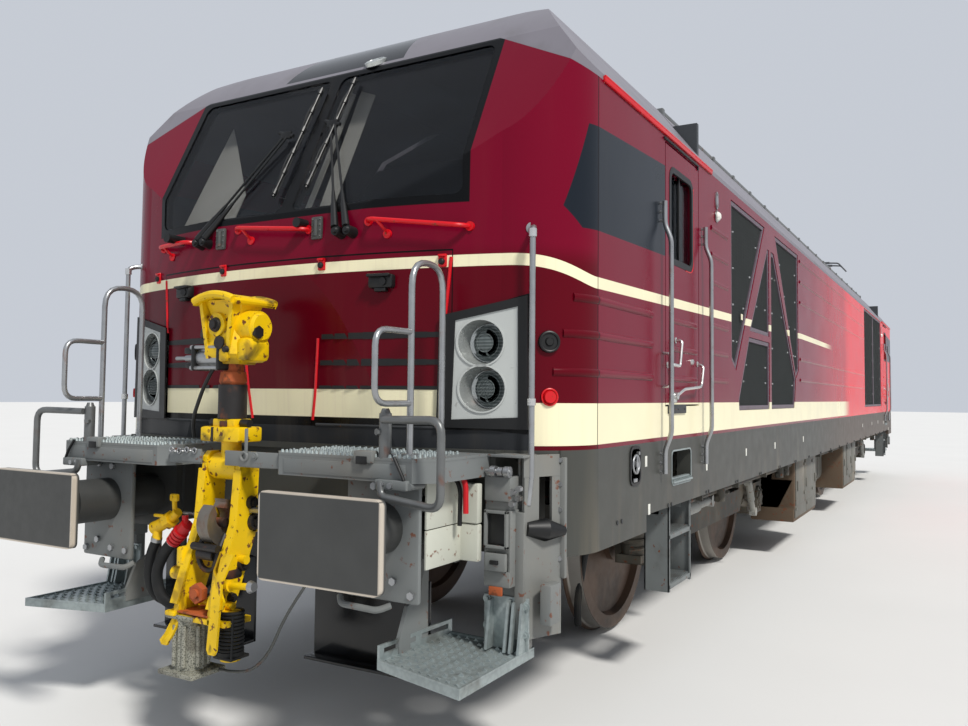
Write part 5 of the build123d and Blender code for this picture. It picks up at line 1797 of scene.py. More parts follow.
def make_bogie(shape, number, finish, body):
    """Builds a piece on one bogie, from shapes written about the bogie's pivot."""
    bm = bmesh.new()
    shape(bm)
    copy_across(bm)
    bmesh.ops.translate(bm, vec=(4.75 if number == 1 else -4.75, 0.0, 0.0), verts=bm.verts[:])
    finish_piece(shape.__name__ + "_" + str(number), bm, FINISHES[finish], body)


def tank_body(bm):
    """Tank with rounded lower edges and straps."""
    x0, x1, half, low, high = -1.15, 1.45, 1.12, 0.42, 1.19
    section = []
    for side in (1.0, -1.0):
        corner = [(half * side, high)] if side > 0 else []
        arc = [(side * (half - 0.14 + 0.14 * math.cos(a)),
                low + 0.14 - 0.14 * math.sin(a)) for a in (math.radians(15.0 * k) for k in range(7))]
        section += corner + (arc if side > 0 else arc[::-1] + [(-half, high)])
    add_plate(bm, [(x0, y, z) for y, z in section], (x1 - x0, 0.0, 0.0))
    for x in (-0.8, 0.15, 1.1):
        outline = [(y * 1.006, (z - 0.8) * 1.008 + 0.8) for y, z in section]
        add_plate(bm, [(x, y, z) for y, z in outline], (0.06, 0.0, 0.0))


def side_boxes(bm):
    for (x0, x1), depth, low in (((1.53, 2.64), 1.4, 0.45), ((-2.64, -1.25), 1.39, 0.32)):
        add_box(bm, (x0, 0.95, low), (x1, depth, 1.19), 0.012)


def box_doors(bm):
    """Doors with hinges and latches on the hung boxes."""
    for (x0, x1), depth, low in (((1.53, 2.64), 1.4, 0.45), ((-2.64, -1.25), 1.39, 0.32)):
        middle = 0.5 * (x0 + x1)
        for a, b in ((x0 + 0.03, middle - 0.012), (middle + 0.012, x1 - 0.03)):
            add_box(bm, (a, depth - 0.004, low + 0.04), (b, depth + 0.012, 0.95), 0.006)
            for z in (low + 0.12, 0.88):
                add_box(bm, (a + 0.006, depth + 0.01, z), (a + 0.06, depth + 0.022, z + 0.03), 0.003)
            add_box(bm, (b - 0.09, depth + 0.01, 0.64), (b - 0.04, depth + 0.026, 0.74), 0.005)


def air_pipes(bm):
    """Long pipes clipped under the sole bar, with small valves."""
    for y, z, radius in ((1.4, 0.95, 0.014), (1.36, 0.915, 0.018), (1.3, 0.93, 0.022)):
        add_pipe(bm, [(-6.4, y, z), (6.4, y, z)], radius, 0.02)
    for x in spread(-6.2, 6.2, 1.05):
        add_box(bm, (x - 0.015, 1.28, 0.905), (x + 0.015, 1.42, 0.985), 0.003)
    for x in (3.05, 3.35, 5.6):
        add_rod(bm, (x, 1.38, 0.95), (x, 1.38, 0.84), 0.04, 18)
        add_rod(bm, (x - 0.05, 1.38, 0.86), (x + 0.05, 1.38, 0.86), 0.022, 14)


def coil_springs(bm):
    """Coils at the axle boxes and below the body."""
    for axle in (-1.5, 1.5):
        for dx in (-0.255, 0.255):
            add_coil(bm, axle + dx, 1.04, 0.6, 0.84, 0.083, 0.013, 4.5)
    for dx in (-0.23, 0.23):
        add_coil(bm, dx, 1.04, 0.775, 1.11, 0.134, 0.017, 5.5)


def add_coil(bm, x, y, low, high, radius, wire, turns):
    steps = round(turns * 14)
    points = []
    for step in range(steps + 1):
        angle = math.tau * turns * step / steps
        z = low + (high - low) * step / steps
        points.append((x + radius * math.cos(angle), y + radius * math.sin(angle), z))
    add_pipe(bm, points, wire, 0.001, 1)


def dampers(bm):
    """Slanted damper by each axle and the long one beside the pivot."""
    for axle in (-1.5, 1.5):
        lean = 0.12 if axle > 0 else -0.12
        x = axle - lean * 3.2
        add_rod(bm, (x - lean, 1.175, 0.82), (x, 1.175, 0.64), 0.036, 20)
        add_rod(bm, (x, 1.175, 0.64), (x + lean * 0.7, 1.175, 0.52), 0.026, 20)
        for dx, z in ((-lean, 0.82), (lean * 0.7, 0.52)):
            add_rod(bm, (x + dx, 1.145, z), (x + dx, 1.205, z), 0.04, 20)
    add_rod(bm, (0.9, 1.21, 0.8), (1.2, 1.21, 0.8), 0.052, 26)
    add_rod(bm, (0.55, 1.21, 0.8), (0.9, 1.21, 0.8), 0.034, 22)
    for x in (0.53, 1.215):
        add_rod(bm, (x, 1.165, 0.8), (x, 1.25, 0.8), 0.044, 22)


def axle_covers(bm):
    """Round bolted covers on the axle boxes, with links to the frame."""
    for axle in (-1.5, 1.5):
        add_rod(bm, (axle, 1.146, 0.625), (axle, 1.172, 0.625), 0.118, 40, 0.112)
        add_rod(bm, (axle, 1.17, 0.625), (axle, 1.186, 0.625), 0.07, 30, 0.064)
        for step in range(8):
            angle = math.tau * step / 8
            at = (axle + 0.094 * math.cos(angle), 1.171, 0.625 + 0.094 * math.sin(angle))
            add_bolt(bm, at, (0, 1, 0), 0.013, 0.012)
        lean = -1.0 if axle > 0 else 1.0
        add_pipe(bm, [(axle + lean * 0.11, 1.1, 0.56), (axle + lean * 0.56, 1.1, 0.64)], 0.04, 0.01)


def sand_pipes(bm):
    for axle in (-1.5, 1.5):
        side = 1.0 if axle > 0 else -1.0
        x = axle + side * 0.56
        add_pipe(bm, [(x, 0.9, 0.85), (x + side * 0.02, 0.83, 0.6), (x - side * 0.02, 0.76, 0.25),
                      (x - side * 0.06, 0.75, 0.11)], 0.024, 0.1)


def brake_units(bm):
    """Brake housings above the wheels."""
    for axle in (-1.5, 1.5):
        side = -1.0 if axle > 0 else 1.0
        x = axle + side * 0.76
        add_box(bm, (x - 0.06, 0.68, 0.47), (x + 0.06, 0.82, 0.72), 0.015)
        add_rod(bm, (x, 0.82, 0.6), (x, 0.872, 0.6), 0.07, 26)


class LOCO_OT_coupler(bpy.types.Operator):
    """Castings, bolts, motor, cocks and cables of the folding coupler"""
    bl_idname = "loco.coupler"
    bl_label = "Folding coupler"

    def execute(self, context):
        arms = ("coupler_arm_front", "coupler_arm_rear")
        make_at_ends(coupler_casting, "signal_yellow", arms)
        make_at_ends(coupler_bolts, "dark_iron", arms)
        make_at_ends(coupler_neck, "orange_rust", arms)
        make_at_ends(coupler_sleeve, "dark_iron", arms)
        make_at_ends(coupler_motor, "brake_steel", arms)
        make_at_ends(coupler_cable, "blade_rubber", arms)
        make(cheek_bolts, "dark_iron", sides=False)
        make(cheek_plates, "signal_yellow", sides=False)
        make(lifting_cylinder, "speckled_grey", sides=False)
        make(bellows_sleeve, "hose_rubber", sides=False)
        make(hook_shackle, "dark_iron", sides=False)
        make(orange_nut, "orange_rust", sides=False)
        make(brake_cocks, "fitting_yellow", sides=False)
        make(red_cock, "cock_red", sides=False)
        make(brake_hoses, "hose_rubber", sides=False)
        make(hose_collars, "brake_steel", sides=False)
        make(coupler_wires, "hinge_grey", sides=False)
        make(stay_lever, "platform_grey", sides=False)
        make(chain_bits, "brake_steel", sides=False)
        return {"FINISHED"}


FOLD_X = NOSE_X + 0.28
CHEEK_Y = 0.123


def coupler_casting(bm):
    """Rolled lip of the flange, the raised fins below it and the split clamp blocks."""
    for x in (FOLD_X + 0.132, FOLD_X - 0.132):
        points = []
        for step in range(13):
            y = -0.126 + 0.252 * step / 12
            points.append((x, y, 2.052 - 0.03 * (y / 0.13) ** 2))
        add_pipe(bm, points, 0.019, 0.05)
    for side in (-1.0, 1.0):
        add_pipe(bm, [(FOLD_X - 0.13, side * 0.119, 2.022), (FOLD_X + 0.13, side * 0.119, 2.022)],
                 0.016, 0.05)
    for y, lean in ((-0.072, -0.012), (0.052, 0.014)):
        outline = [(FOLD_X + 0.065, y, 1.755), (FOLD_X + 0.1, y + lean * 0.3, 1.76),
                   (FOLD_X + 0.112, y + lean, 1.87), (FOLD_X + 0.122, y + lean * 3.0, 2.03),
                   (FOLD_X + 0.06, y + lean * 3.0, 2.04), (FOLD_X + 0.06, y, 1.87)]
        add_plate(bm, outline, (0.0, 0.02, 0.0))
    add_rod(bm, (FOLD_X + 0.07, -0.012, 1.915), (FOLD_X + 0.104, -0.012, 1.915), 0.062, 28, 0.054)
    add_rod(bm, (FOLD_X, 0.165, 1.905), (FOLD_X, 0.182, 1.905), 0.066, 30, 0.058)
    add_block(bm, (FOLD_X + 0.01, 0.13, 1.8), (0.15, 0.09, 0.115), 0.03)
    add_block(bm, (FOLD_X + 0.1, 0.045, 1.772), (0.036, 0.05, 0.06), 0.014)
    add_block(bm, (FOLD_X + 0.064, -0.088, 1.41), (0.03, 0.072, 0.066), 0.008)
    add_block(bm, (FOLD_X + 0.064, 0.04, 1.41), (0.03, 0.168, 0.066), 0.008)


def coupler_bolts(bm):
    """Dark bolt heads, ports and pins on the casting and the clamp."""
    front = FOLD_X + 0.104
    add_rod(bm, (front - 0.002, -0.014, 1.915), (front + 0.012, -0.014, 1.915), 0.036, 24, 0.03)
    add_bolt(bm, (front + 0.01, -0.014, 1.915), (1, 0, 0), 0.02, 0.012)
    add_rod(bm, (front - 0.02, 0.012, 1.832), (front + 0.004, 0.012, 1.832), 0.03, 24)
    add_rod(bm, (front, 0.06, 1.8), (front + 0.016, 0.06, 1.8), 0.018, 16, 0.013)
    add_rod(bm, (FOLD_X + 0.05, -0.09, 1.88), (FOLD_X + 0.05, -0.14, 1.88), 0.036, 24, 0.03)
    add_bolt(bm, (FOLD_X + 0.03, 0.176, 1.88), (0, 1, 0), 0.03, 0.014)
    add_block(bm, (FOLD_X + 0.056, 0.003, 1.458), (0.01, 0.046, 0.026), 0.003)
    for y in (-0.098, 0.098):
        add_rod(bm, (FOLD_X + 0.01, y - 0.024, 1.462), (FOLD_X + 0.01, y + 0.024, 1.462), 0.019, 18)
    add_block(bm, (FOLD_X + 0.077, -0.046, 1.41), (0.008, 0.014, 0.066), 0.002)


def coupler_neck(bm):
    """Rusty upper part of the shaft."""
    add_rod(bm, (FOLD_X, 0, 1.572), (FOLD_X, 0, 1.746), 0.0475, 28)
    add_rod(bm, (FOLD_X, 0, 1.655), (FOLD_X, 0, 1.7), 0.064, 28, 0.058)
    add_rod(bm, (FOLD_X, 0, 1.64), (FOLD_X, 0, 1.655), 0.056, 28, 0.064)


def coupler_sleeve(bm):
    """Dark sleeve above the clamp."""
    add_rod(bm, (FOLD_X, 0, 1.483), (FOLD_X, 0, 1.64), 0.066, 30)


def coupler_motor(bm):
    """Bright barrel, tie rods and spindle in front of the shaft's left side."""
    x, z = MOTOR_X, MOTOR_H
    add_rod(bm, (x, 0.004, z), (x, -0.152, z), 0.045, 30)
    for dx, dz in ((0.045, 0.048), (0.045, -0.048), (-0.04, 0.048), (-0.04, -0.048)):
        add_rod(bm, (x + dx, 0.006, z + dz), (x + dx, -0.168, z + dz), 0.009, 12)
        add_bolt(bm, (x + dx, -0.168, z + dz), (0, -1, 0), 0.012, 0.01)
    add_rod(bm, (x, -0.23, z), (x, -0.33, z), 0.009, 14)
    add_rod(bm, (x, -0.185, z), (x, -0.262, z), 0.018, 16, 0.014)


MOTOR_X = FOLD_X + 0.05
MOTOR_H = 1.765


def coupler_cable(bm):
    """Cable from the motor down to the clamp, with the motor's dark end plates."""
    x, z = MOTOR_X, MOTOR_H
    for y in (0.004, -0.16):
        add_block(bm, (x, y, z), (0.116, 0.022, 0.12), 0.01)
    add_block(bm, (x, -0.205, z + 0.034), (0.08, 0.06, 0.03), 0.006)
    add_block(bm, (x, -0.205, z - 0.036), (0.07, 0.05, 0.026), 0.006)
    add_pipe(bm, [(x, -0.07, 1.722), (x, -0.095, 1.695), (x, -0.145, 1.62), (x - 0.01, -0.21, 1.5),
                  (x - 0.03, -0.24, 1.44), (x - 0.05, -0.25, 1.388)], 0.009, 0.07)


def cheek_bolts(bm):
    """Large bolts and pins through the two leaning cheeks."""
    for x, height, radius in ((FOLD_X - 0.01, 1.1, 0.032), (FOLD_X - 0.03, 1.01, 0.042),
                              (FOLD_X + 0.035, 0.828, 0.034),
                              (FOLD_X + 0.1, 0.69, 0.024)):
        for side in (-1.0, 1.0):
            y = side * CHEEK_Y
            add_rod(bm, (x, y - side * 0.004, height), (x, y + side * 0.018, height),
                    radius, 22, radius * 0.85)
            add_bolt(bm, (x, y + side * 0.016, height), (0, side, 0), radius * 0.58, 0.014)
    add_block(bm, (FOLD_X + 0.09, 0.108, 0.79), (0.11, 0.04, 0.045), 0.012)


def cheek_plates(bm):
    """Front flanges of the cheeks, side brackets, lever and the two long straps."""
    for side in (-1.0, 1.0):
        outline = [(FOLD_X + 0.062, side * 0.09, 1.25), (FOLD_X + 0.082, side * 0.09, 1.01),
                   (FOLD_X + 0.209, side * 0.09, 0.655), (FOLD_X + 0.217, side * 0.09, 0.658),
                   (FOLD_X + 0.091, side * 0.09, 1.012), (FOLD_X + 0.071, side * 0.09, 1.251)]
        add_plate(bm, outline, (0.0, side * 0.046, 0.0))
    add_plate(bm, [(FOLD_X + 0.17, 0.134, 0.905), (FOLD_X + 0.205, 0.134, 0.83), (FOLD_X + 0.205, 0.2, 0.7),
                   (FOLD_X + 0.205, 0.188, 0.66), (FOLD_X + 0.205, 0.11, 0.655)], (0.012, 0.0, 0.0))
    for y0, low, high in ((0.112, 0.47, 0.9), (-0.185, 0.47, 0.64)):
        x = FOLD_X + 0.214
        add_plate(bm, [(x - 0.04, y0 + 0.07, high), (x, y0 + 0.03, high - 0.12), (x, y0, low + 0.02),
                       (x, y0 + 0.012, low), (x, y0 + 0.046, low), (x, y0 + 0.058, low + 0.02),
                       (x, y0 + 0.082, high - 0.12), (x - 0.04, y0 + 0.11, high)], (0.012, 0.0, 0.0))
    add_rod(bm, (FOLD_X + 0.15, 0.1, 0.752), (FOLD_X + 0.15, 0.29, 0.765), 0.015, 16)
    add_rod(bm, (FOLD_X + 0.15, 0.12, 0.752), (FOLD_X + 0.15, 0.17, 0.756), 0.026, 20)
    add_rod(bm, (FOLD_X + 0.11, -0.175, 0.765), (FOLD_X + 0.11, -0.232, 0.765), 0.03, 22)
    add_block(bm, (FOLD_X + 0.13, -0.15, 0.85), (0.06, 0.04, 0.09), 0.01)
    add_block(bm, (FOLD_X + 0.15, -0.13, 0.612), (0.15, 0.06, 0.022), 0.006)


def lifting_cylinder(bm):
    """Eight-sided cast cylinder with raised corners and base plate."""
    x, y = FOLD_X + 0.13, -0.084
    add_rod(bm, (x, y, 0.362), (x, y, 0.586), 0.0785, 8)
    for step in range(8):
        angle = math.tau * (step + 0.5) / 8
        at = (x + 0.079 * math.cos(angle), y + 0.079 * math.sin(angle))
        add_rod(bm, (*at, 0.38), (*at, 0.56), 0.01, 10)
    add_block(bm, (x, y + 0.005, 0.35), (0.2, 0.22, 0.022), 0.006)
    add_block(bm, (x, y, 0.596), (0.165, 0.175, 0.02), 0.006)


def bellows_sleeve(bm):
    """Black pleated sleeve standing beside the cylinder, with its clamps."""
    x, y = FOLD_X + 0.13, 0.16
    for level in spread(0.48, 0.64, 0.0155):
        add_ring(bm, (x, y, level), (0, 0, 1), 0.051, 0.0075, 20)
    add_rod(bm, (x, y, 0.455), (x, y, 0.472), 0.058, 24)
    add_block(bm, (x, y + 0.004, 0.448), (0.11, 0.11, 0.014), 0.004)
    add_pipe(bm, [(x + 0.055, y + 0.062, 0.45), (x + 0.055, y + 0.066, 0.64)], 0.005, 0.02)


def hook_shackle(bm):
    """Link screwed under the draw hook."""
    x = NOSE_X + 0.342
    add_pipe(bm, [(x + 0.075, -0.085, 0.905), (x + 0.085, 0.085, 0.905)], 0.018, 0.02)
    add_rod(bm, (x + 0.06, -0.05, 0.875), (x + 0.07, 0.05, 0.87), 0.03, 20, 0.024)
    add_pipe(bm, [(x + 0.02, -0.06, 0.96), (x + 0.07, -0.066, 0.88), (x + 0.06, -0.04, 0.8),
                  (x + 0.06, 0.04, 0.8), (x + 0.07, 0.066, 0.88), (x + 0.02, 0.06, 0.96)], 0.013, 0.04)
    add_rod(bm, (x + 0.01, -0.052, 1.01), (x + 0.01, 0.052, 1.01), 0.022, 18)


def orange_nut(bm):
    add_rod(bm, (FOLD_X + 0.15, -0.012, 0.705), (FOLD_X + 0.182, -0.012, 0.705), 0.046, 6)
    add_rod(bm, (FOLD_X + 0.182, -0.012, 0.705), (FOLD_X + 0.194, -0.012, 0.705), 0.022, 16)
    add_block(bm, (FOLD_X + 0.13, 0.0, 0.622), (0.16, 0.19, 0.008), 0.002)


def brake_cocks(bm):
    """Yellow stop cocks on the air pipes left of the coupler."""
    x = NOSE_X + 0.22
    add_rod(bm, (x, -0.59, 0.915), (x, -0.5, 0.955), 0.034, 20, 0.03)
    add_rod(bm, (x, -0.5, 0.955), (x, -0.46, 0.975), 0.042, 6)
    add_rod(bm, (x, -0.565, 0.93), (x + 0.006, -0.56, 0.86), 0.024, 18)
    add_rod(bm, (x, -0.462, 0.975), (x, -0.42, 1.01), 0.024, 18)
    add_pipe(bm, [(x, -0.44, 0.985), (x + 0.01, -0.436, 1.06), (x + 0.01, -0.436, 1.08)], 0.012, 0.02)
    add_block(bm, (x + 0.01, -0.436, 1.08), (0.02, 0.052, 0.036), 0.006)
    add_block(bm, (x + 0.02, -0.53, 0.985), (0.02, 0.07, 0.016), 0.005)


def red_cock(bm):
    """Red hose coupling with ribs."""
    x = NOSE_X + 0.225
    add_rod(bm, (x, -0.345, 0.955), (x, -0.385, 0.92), 0.032, 22)
    for share in (0.0, 0.33, 0.66, 1.0):
        at = Vector((x, -0.385 - 0.05 * share, 0.92 - 0.048 * share))
        step = Vector((0.0, -0.011, -0.0105))
        add_rod(bm, at, at + step, 0.04 - 0.005 * share, 22)
    add_rod(bm, (x, -0.36, 0.95), (x, -0.362, 0.998), 0.016, 16)


def brake_hoses(bm):
    """Thick hoses drooping from the cocks and back under the headstock."""
    x = NOSE_X + 0.225
    add_pipe(bm, [(x, -0.44, 0.868), (x, -0.5, 0.81), (x - 0.004, -0.572, 0.7), (x - 0.02, -0.545, 0.56),
                  (x - 0.11, -0.44, 0.5), (x - 0.26, -0.33, 0.6), (x - 0.33, -0.33, 0.7)], 0.028, 0.12, 5)
    add_pipe(bm, [(x, -0.562, 0.862), (x, -0.6, 0.8), (x - 0.01, -0.64, 0.68), (x - 0.03, -0.6, 0.56),
                  (x - 0.13, -0.52, 0.52), (x - 0.28, -0.46, 0.64), (x - 0.33, -0.46, 0.74)], 0.024, 0.12, 5)


def hose_collars(bm):
    x = NOSE_X + 0.225
    add_rod(bm, (x, -0.436, 0.873), (x, -0.452, 0.858), 0.031, 22)
    add_rod(bm, (x, -0.562, 0.872), (x, -0.568, 0.852), 0.027, 22)
    add_rod(bm, (FOLD_X + 0.15, 0.29, 0.765), (FOLD_X + 0.15, 0.312, 0.767), 0.028, 20, 0.02)
    add_rod(bm, (NOSE_X + 0.27, 0.125, 1.065), (NOSE_X + 0.27, 0.19, 1.066), 0.014, 16)
    add_rod(bm, (NOSE_X + 0.2, -0.4, 1.005), (NOSE_X + 0.2, -0.33, 1.005), 0.008, 12)


def coupler_wires(bm):
    """Thin cable looping from under the cylinder up behind the right buffer."""
    x = FOLD_X + 0.07
    add_pipe(bm, [(x, -0.014, 0.352), (x, 0.12, 0.352), (x, 0.235, 0.38), (x, 0.33, 0.47), (x, 0.42, 0.64),
                  (x - 0.03, 0.5, 0.773), (x - 0.1, 0.52, 0.86)], 0.0065, 0.1)


def stay_lever(bm):
    """Flat lever with a round eye on the right-hand crossbar, and the bar's pressed ends."""
    x = FOLD_X + 0.08
    add_block(bm, (x, 0.218, 1.306), (0.012, 0.34, 0.068), 0.003)
    add_block(bm, (x, -0.198, 1.308), (0.012, 0.176, 0.062), 0.003)
    for y in (0.34, -0.23):
        add_block(bm, (x - 0.02, y, 1.3), (0.04, 0.06, 0.05), 0.004)
    add_ring(bm, (x + 0.01, 0.172, 1.318), (1, 0, 0), 0.019, 0.007, 22)
    add_block(bm, (x + 0.01, 0.184, 1.388), (0.008, 0.018, 0.11), 0.004)
    add_rod(bm, (x, 0.238, 1.322), (x + 0.014, 0.238, 1.322), 0.019, 20, 0.015)
    add_bolt(bm, (x + 0.012, 0.238, 1.322), (1, 0, 0), 0.01, 0.008)


def chain_bits(bm):
    """Short hanging chain on the crossbar."""
    x = FOLD_X + 0.092
    for link in range(7):
        at = (x, -0.3 + 0.026 * link, 1.33 - 0.004 * math.sin(link))
        add_ring(bm, at, (0, 0.3, 1) if link % 2 else (1, 0, 0), 0.012, 0.0035, 12)


class LOCO_OT_platform(bpy.types.Operator):
    """Grating, brackets, boxes, levers and bolts round the end platforms."""
    bl_idname = "loco.platform"
    bl_label = "Platform fittings"

    def execute(self, context):
        make(deck_grating, "galvanised")
        make(deck_brackets, "platform_grey")
        make(deck_bolts, "brake_steel")
        make(deck_shadows, "black_plastic")
        make(light_boxes, "box_light")
        make(guard_plates, "screen_black")
        make(red_levers, "cock_red")
        make(rust_patches, "orange_rust")
        make(corner_cylinders, "chrome_dull")
        make(post_rails, "chrome")
        return {"FINISHED"}


DECK_TOP = 1.347
FLANGE_BOLTS = ((0.94, 1.23), (0.94, 0.838), (0.838, 1.22), (0.83, 0.805), (0.72, 0.8), (1.03, 0.79))


def deck_grating(bm):
    """Raised teeth over the deck, closest along its front edge."""
    for row in range(11):
        x = 9.168 - 0.036 * row
        for y in spread(0.4 + 0.012 * (row % 2), 1.07, 0.036 if row else 0.024):
            if abs(y - 0.99) > 0.045 or row not in (2, 3, 4):
                add_rod(bm, (x, y, DECK_TOP - 0.002), (x, y, DECK_TOP + 0.013), 0.0095, 6, 0.005)


def deck_brackets(bm):
    """Folded bracket under the deck's corner, foot of the rail, buffer flange and low pipe."""
    add_box(bm, (9.1, 0.925, 1.222), (9.205, 1.08, 1.262), 0.006)
    add_box(bm, (9.15, 0.81, 1.322), (9.196, 0.905, 1.372), 0.006)
    add_box(bm, (9.055, 0.69, 0.752), (9.083, 1.062, 1.262), 0.012)
    add_pipe(bm, [(9.08, 0.66, 0.745), (9.11, 0.69, 0.722), (9.11, 0.88, 0.716), (9.07, 0.92, 0.735)],
             0.014, 0.03)
    add_rod(bm, (9.08, 1.075, 1.235), (9.19, 1.085, 1.24), 0.012, 16)
    for low, high in ((1.098, 1.11), (0.95, 0.962)):
        add_box(bm, (8.738, 1.178, low), (8.76, 1.29, high), 0.002)
    for y in (1.178, 1.278):
        add_box(bm, (8.738, y, 0.95), (8.76, y + 0.012, 1.11), 0.002)
    add_box(bm, (8.738, 1.184, 0.855), (8.764, 1.286, 0.93), 0.006)
    add_box(bm, (8.47, 1.395, 0.8), (8.496, 1.44, 1.33), 0.004)


def deck_bolts(bm):
    for y, height in FLANGE_BOLTS:
        add_bolt(bm, (9.083, y, height), (1, 0, 0), 0.017, 0.014)
    add_bolt(bm, (9.205, 1.005, 1.24), (1, 0, 0), 0.013, 0.01)
    add_bolt(bm, (9.205, 0.968, 1.246), (1, 0, 0), 0.008, 0.006)
    for height in (1.318, 1.212, 1.101, 0.886):
        add_bolt(bm, (8.496, 1.418, height), (1, 0, 0), 0.011, 0.008)
    for y, height in ((1.3, 1.19), (1.33, 1.165), (1.298, 1.14), (1.33, 1.205)):
        add_bolt(bm, (8.718, y, height), (1, 0, 0), 0.014, 0.02)
    for side in (0.004, 0.06):
        add_rod(bm, (9.13, 0.905 + side, 1.352), (9.13, 0.905 + side, 1.362), 0.01, 12)


def deck_shadows(bm):
    """Dark strap over the deck's edge, cable behind the rail, hose, horn socket and column slots."""
    add_pipe(bm, [(9.19, 1.01, 1.352), (9.197, 1.045, 1.3), (9.197, 1.065, 1.262)], 0.007, 0.02)
    add_pipe(bm, [(8.86, 1.06, 1.25), (8.86, 1.1, 1.245), (8.86, 1.121, 1.2), (8.86, 1.118, 1.05)],
             0.01, 0.03)
    add_rod(bm, (8.66, 1.33, 1.03), (8.58, 1.385, 1.02), 0.03, 20, 0.05)
    add_rod(bm, (8.58, 1.385, 1.02), (8.5, 1.44, 1.01), 0.05, 20, 0.02)
    add_box(bm, (8.736, 1.192, 0.964), (8.744, 1.276, 1.096), 0.001)
    add_box(bm, (9.197, 0.826, 1.318), (9.201, 0.88, 1.35), 0.001)
    add_box(bm, (8.764, 1.215, 0.884), (8.776, 1.255, 0.902), 0.003)
    for height in (0.896, 0.846):
        add_rod(bm, (8.594, 1.294, height), (8.594, 1.299, height), 0.011, 14)


def light_boxes(bm):
    """Pale plate behind the buffer, folded once."""
    add_box(bm, (8.75, 0.86, 1.052), (8.79, 1.165, 1.222), 0.006)
    add_box(bm, (8.75, 0.86, 0.89), (8.786, 1.165, 1.048), 0.006)
    for low, high in ((1.052, 1.245), (0.89, 1.048)):
        add_box(bm, (8.78, 1.066, low), (9.05, 1.078, high), 0.003)


def guard_plates(bm):
    """Dark guard below the buffer beam, hung from it by two stays."""
    add_box(bm, (8.69, 0.2, 0.33), (8.706, 0.87, 0.76), 0.003)
    for y in (0.26, 0.8):
        add_box(bm, (8.65, y - 0.03, 0.7), (8.692, y + 0.03, 1.0), 0.004)
    add_box(bm, (8.69, 0.2, 0.33), (8.78, 0.87, 0.345), 0.003)


def red_levers(bm):
    add_pipe(bm, [(8.87, 1.095, 1.262), (8.87, 1.135, 1.262), (8.87, 1.152, 1.222), (8.87, 1.154, 1.105)],
             0.012, 0.025)


def rust_patches(bm):
    add_box(bm, (8.736, 1.196, 0.748), (8.746, 1.262, 0.786), 0.004)
    add_rod(bm, (9.083, 0.905, 0.98), (9.093, 0.905, 0.98), 0.026, 20)


def corner_cylinders(bm):
    """Bright coupling halves that lie on the corner column."""
    for y, radius in ((1.205, 0.024), (1.24, 0.02), (1.272, 0.024)):
        add_rod(bm, (8.744, y, 1.276), (8.744, y + 0.024, 1.276), radius, 24)
    add_rod(bm, (8.744, 1.18, 1.276), (8.744, 1.3, 1.276), 0.011, 16)


def post_rails(bm):
    """Bright sleeve at the head of each tall corner rail."""
    add_rod(bm, (8.642, 1.345, 2.3), (8.642, 1.345, 2.336), 0.0185, 20)
    add_rod(bm, (8.642, 1.345, 1.56), (8.642, 1.345, 1.59), 0.0185, 20)


class LOCO_OT_cabs(bpy.types.Operator):
    """Blinds and desk displays seen through the windscreens, and the roof rails, fin and ribs."""
    bl_idname = "loco.cabs"
    bl_label = "Cab fittings"

    def execute(self, context):
        make(cab_blinds, "blind_white", sides=False)
        make(cab_screens, "screen_black", sides=False)
        make(roof_rails, "rail_paint", ends=False)
        make(roof_fins, "black_plastic", sides=False)
        make(roof_ribs, "roof_grey", sides=False)
        return {"FINISHED"}


# Corners of the pale blinds as (x, y, height above the rail), just behind the glass
BLINDS = (
    ((8.644, -1.004, 2.559), (8.293, -0.96, 3.281), (8.359, -0.858, 3.146), (8.539, -0.594, 2.775),
     (8.602, -0.599, 2.645), (8.639, -0.588, 2.569)),
    ((8.641, -0.077, 2.564), (8.64, -0.039, 2.566), (8.258, -0.027, 3.353), (8.251, -0.066, 3.368)),
    ((8.636, 0.026, 2.574), (8.642, 0.123, 2.563), (8.275, 0.123, 3.319), (8.252, 0.007, 3.366)),
)
BEHIND_GLASS = Vector((-0.085, 0.0, -0.035))


def cab_blinds(bm):
    for corners in BLINDS:
        add_plate(bm, [Vector((x, y, height)) + BEHIND_GLASS for x, y, height in corners],
                  (-0.006, 0.0, -0.003))


def cab_screens(bm):
    """Two dark displays on the driver's desk."""
    for y in (0.25, 0.6):
        add_block(bm, (8.18, y, 2.42), (0.03, 0.29, 0.2), 0.008, 0.0, -0.4)


def roof_rails(bm):
    """Long pipe beside the roof with its clamps."""
    y, height = 1.12, 3.622
    add_rod(bm, (-6.2, y, height), (6.2, y, height), 0.024, 12)
    for step in range(19):
        x = -6.2 + 12.4 * step / 18
        add_block(bm, (x, y, height - 0.02), (0.05, 0.066, 0.08), 0.008)


def roof_fins(bm):
    """Swept aerial fin on the cab roof."""
    base = 3.68
    add_plate(bm, [(7.72, 0.432, base), (7.49, 0.432, base), (7.5, 0.432, base + 0.15),
                   (7.56, 0.432, base + 0.16)], (0.0, 0.026, 0.0))


def roof_ribs(bm):
    """Low ridges across the roof between the hatches."""
    for x in spread(-6.0, 6.0, 1.0):
        add_box(bm, (x - 0.02, -0.9, ROOF_Z - RAIL - 0.004), (x + 0.02, 0.9, ROOF_Z - RAIL + 0.01), 0.004)


class LocomotiveSettings(bpy.types.PropertyGroup):
    floor_colour: FloatVectorProperty(
        name="Floor colour", description="Colour of the plain floor", subtype="COLOR",
        size=3, min=0.0, max=1.0, default=(0.72, 0.72, 0.71))
    sun_strength: FloatProperty(
        name="Sun strength", description="Strength of the main lamp", default=3.2, min=0.0, max=10.0)
    sky_strength: FloatProperty(
        name="Sky strength", description="Strength of the soft light all round",
        default=0.52, min=0.0, max=3.0)


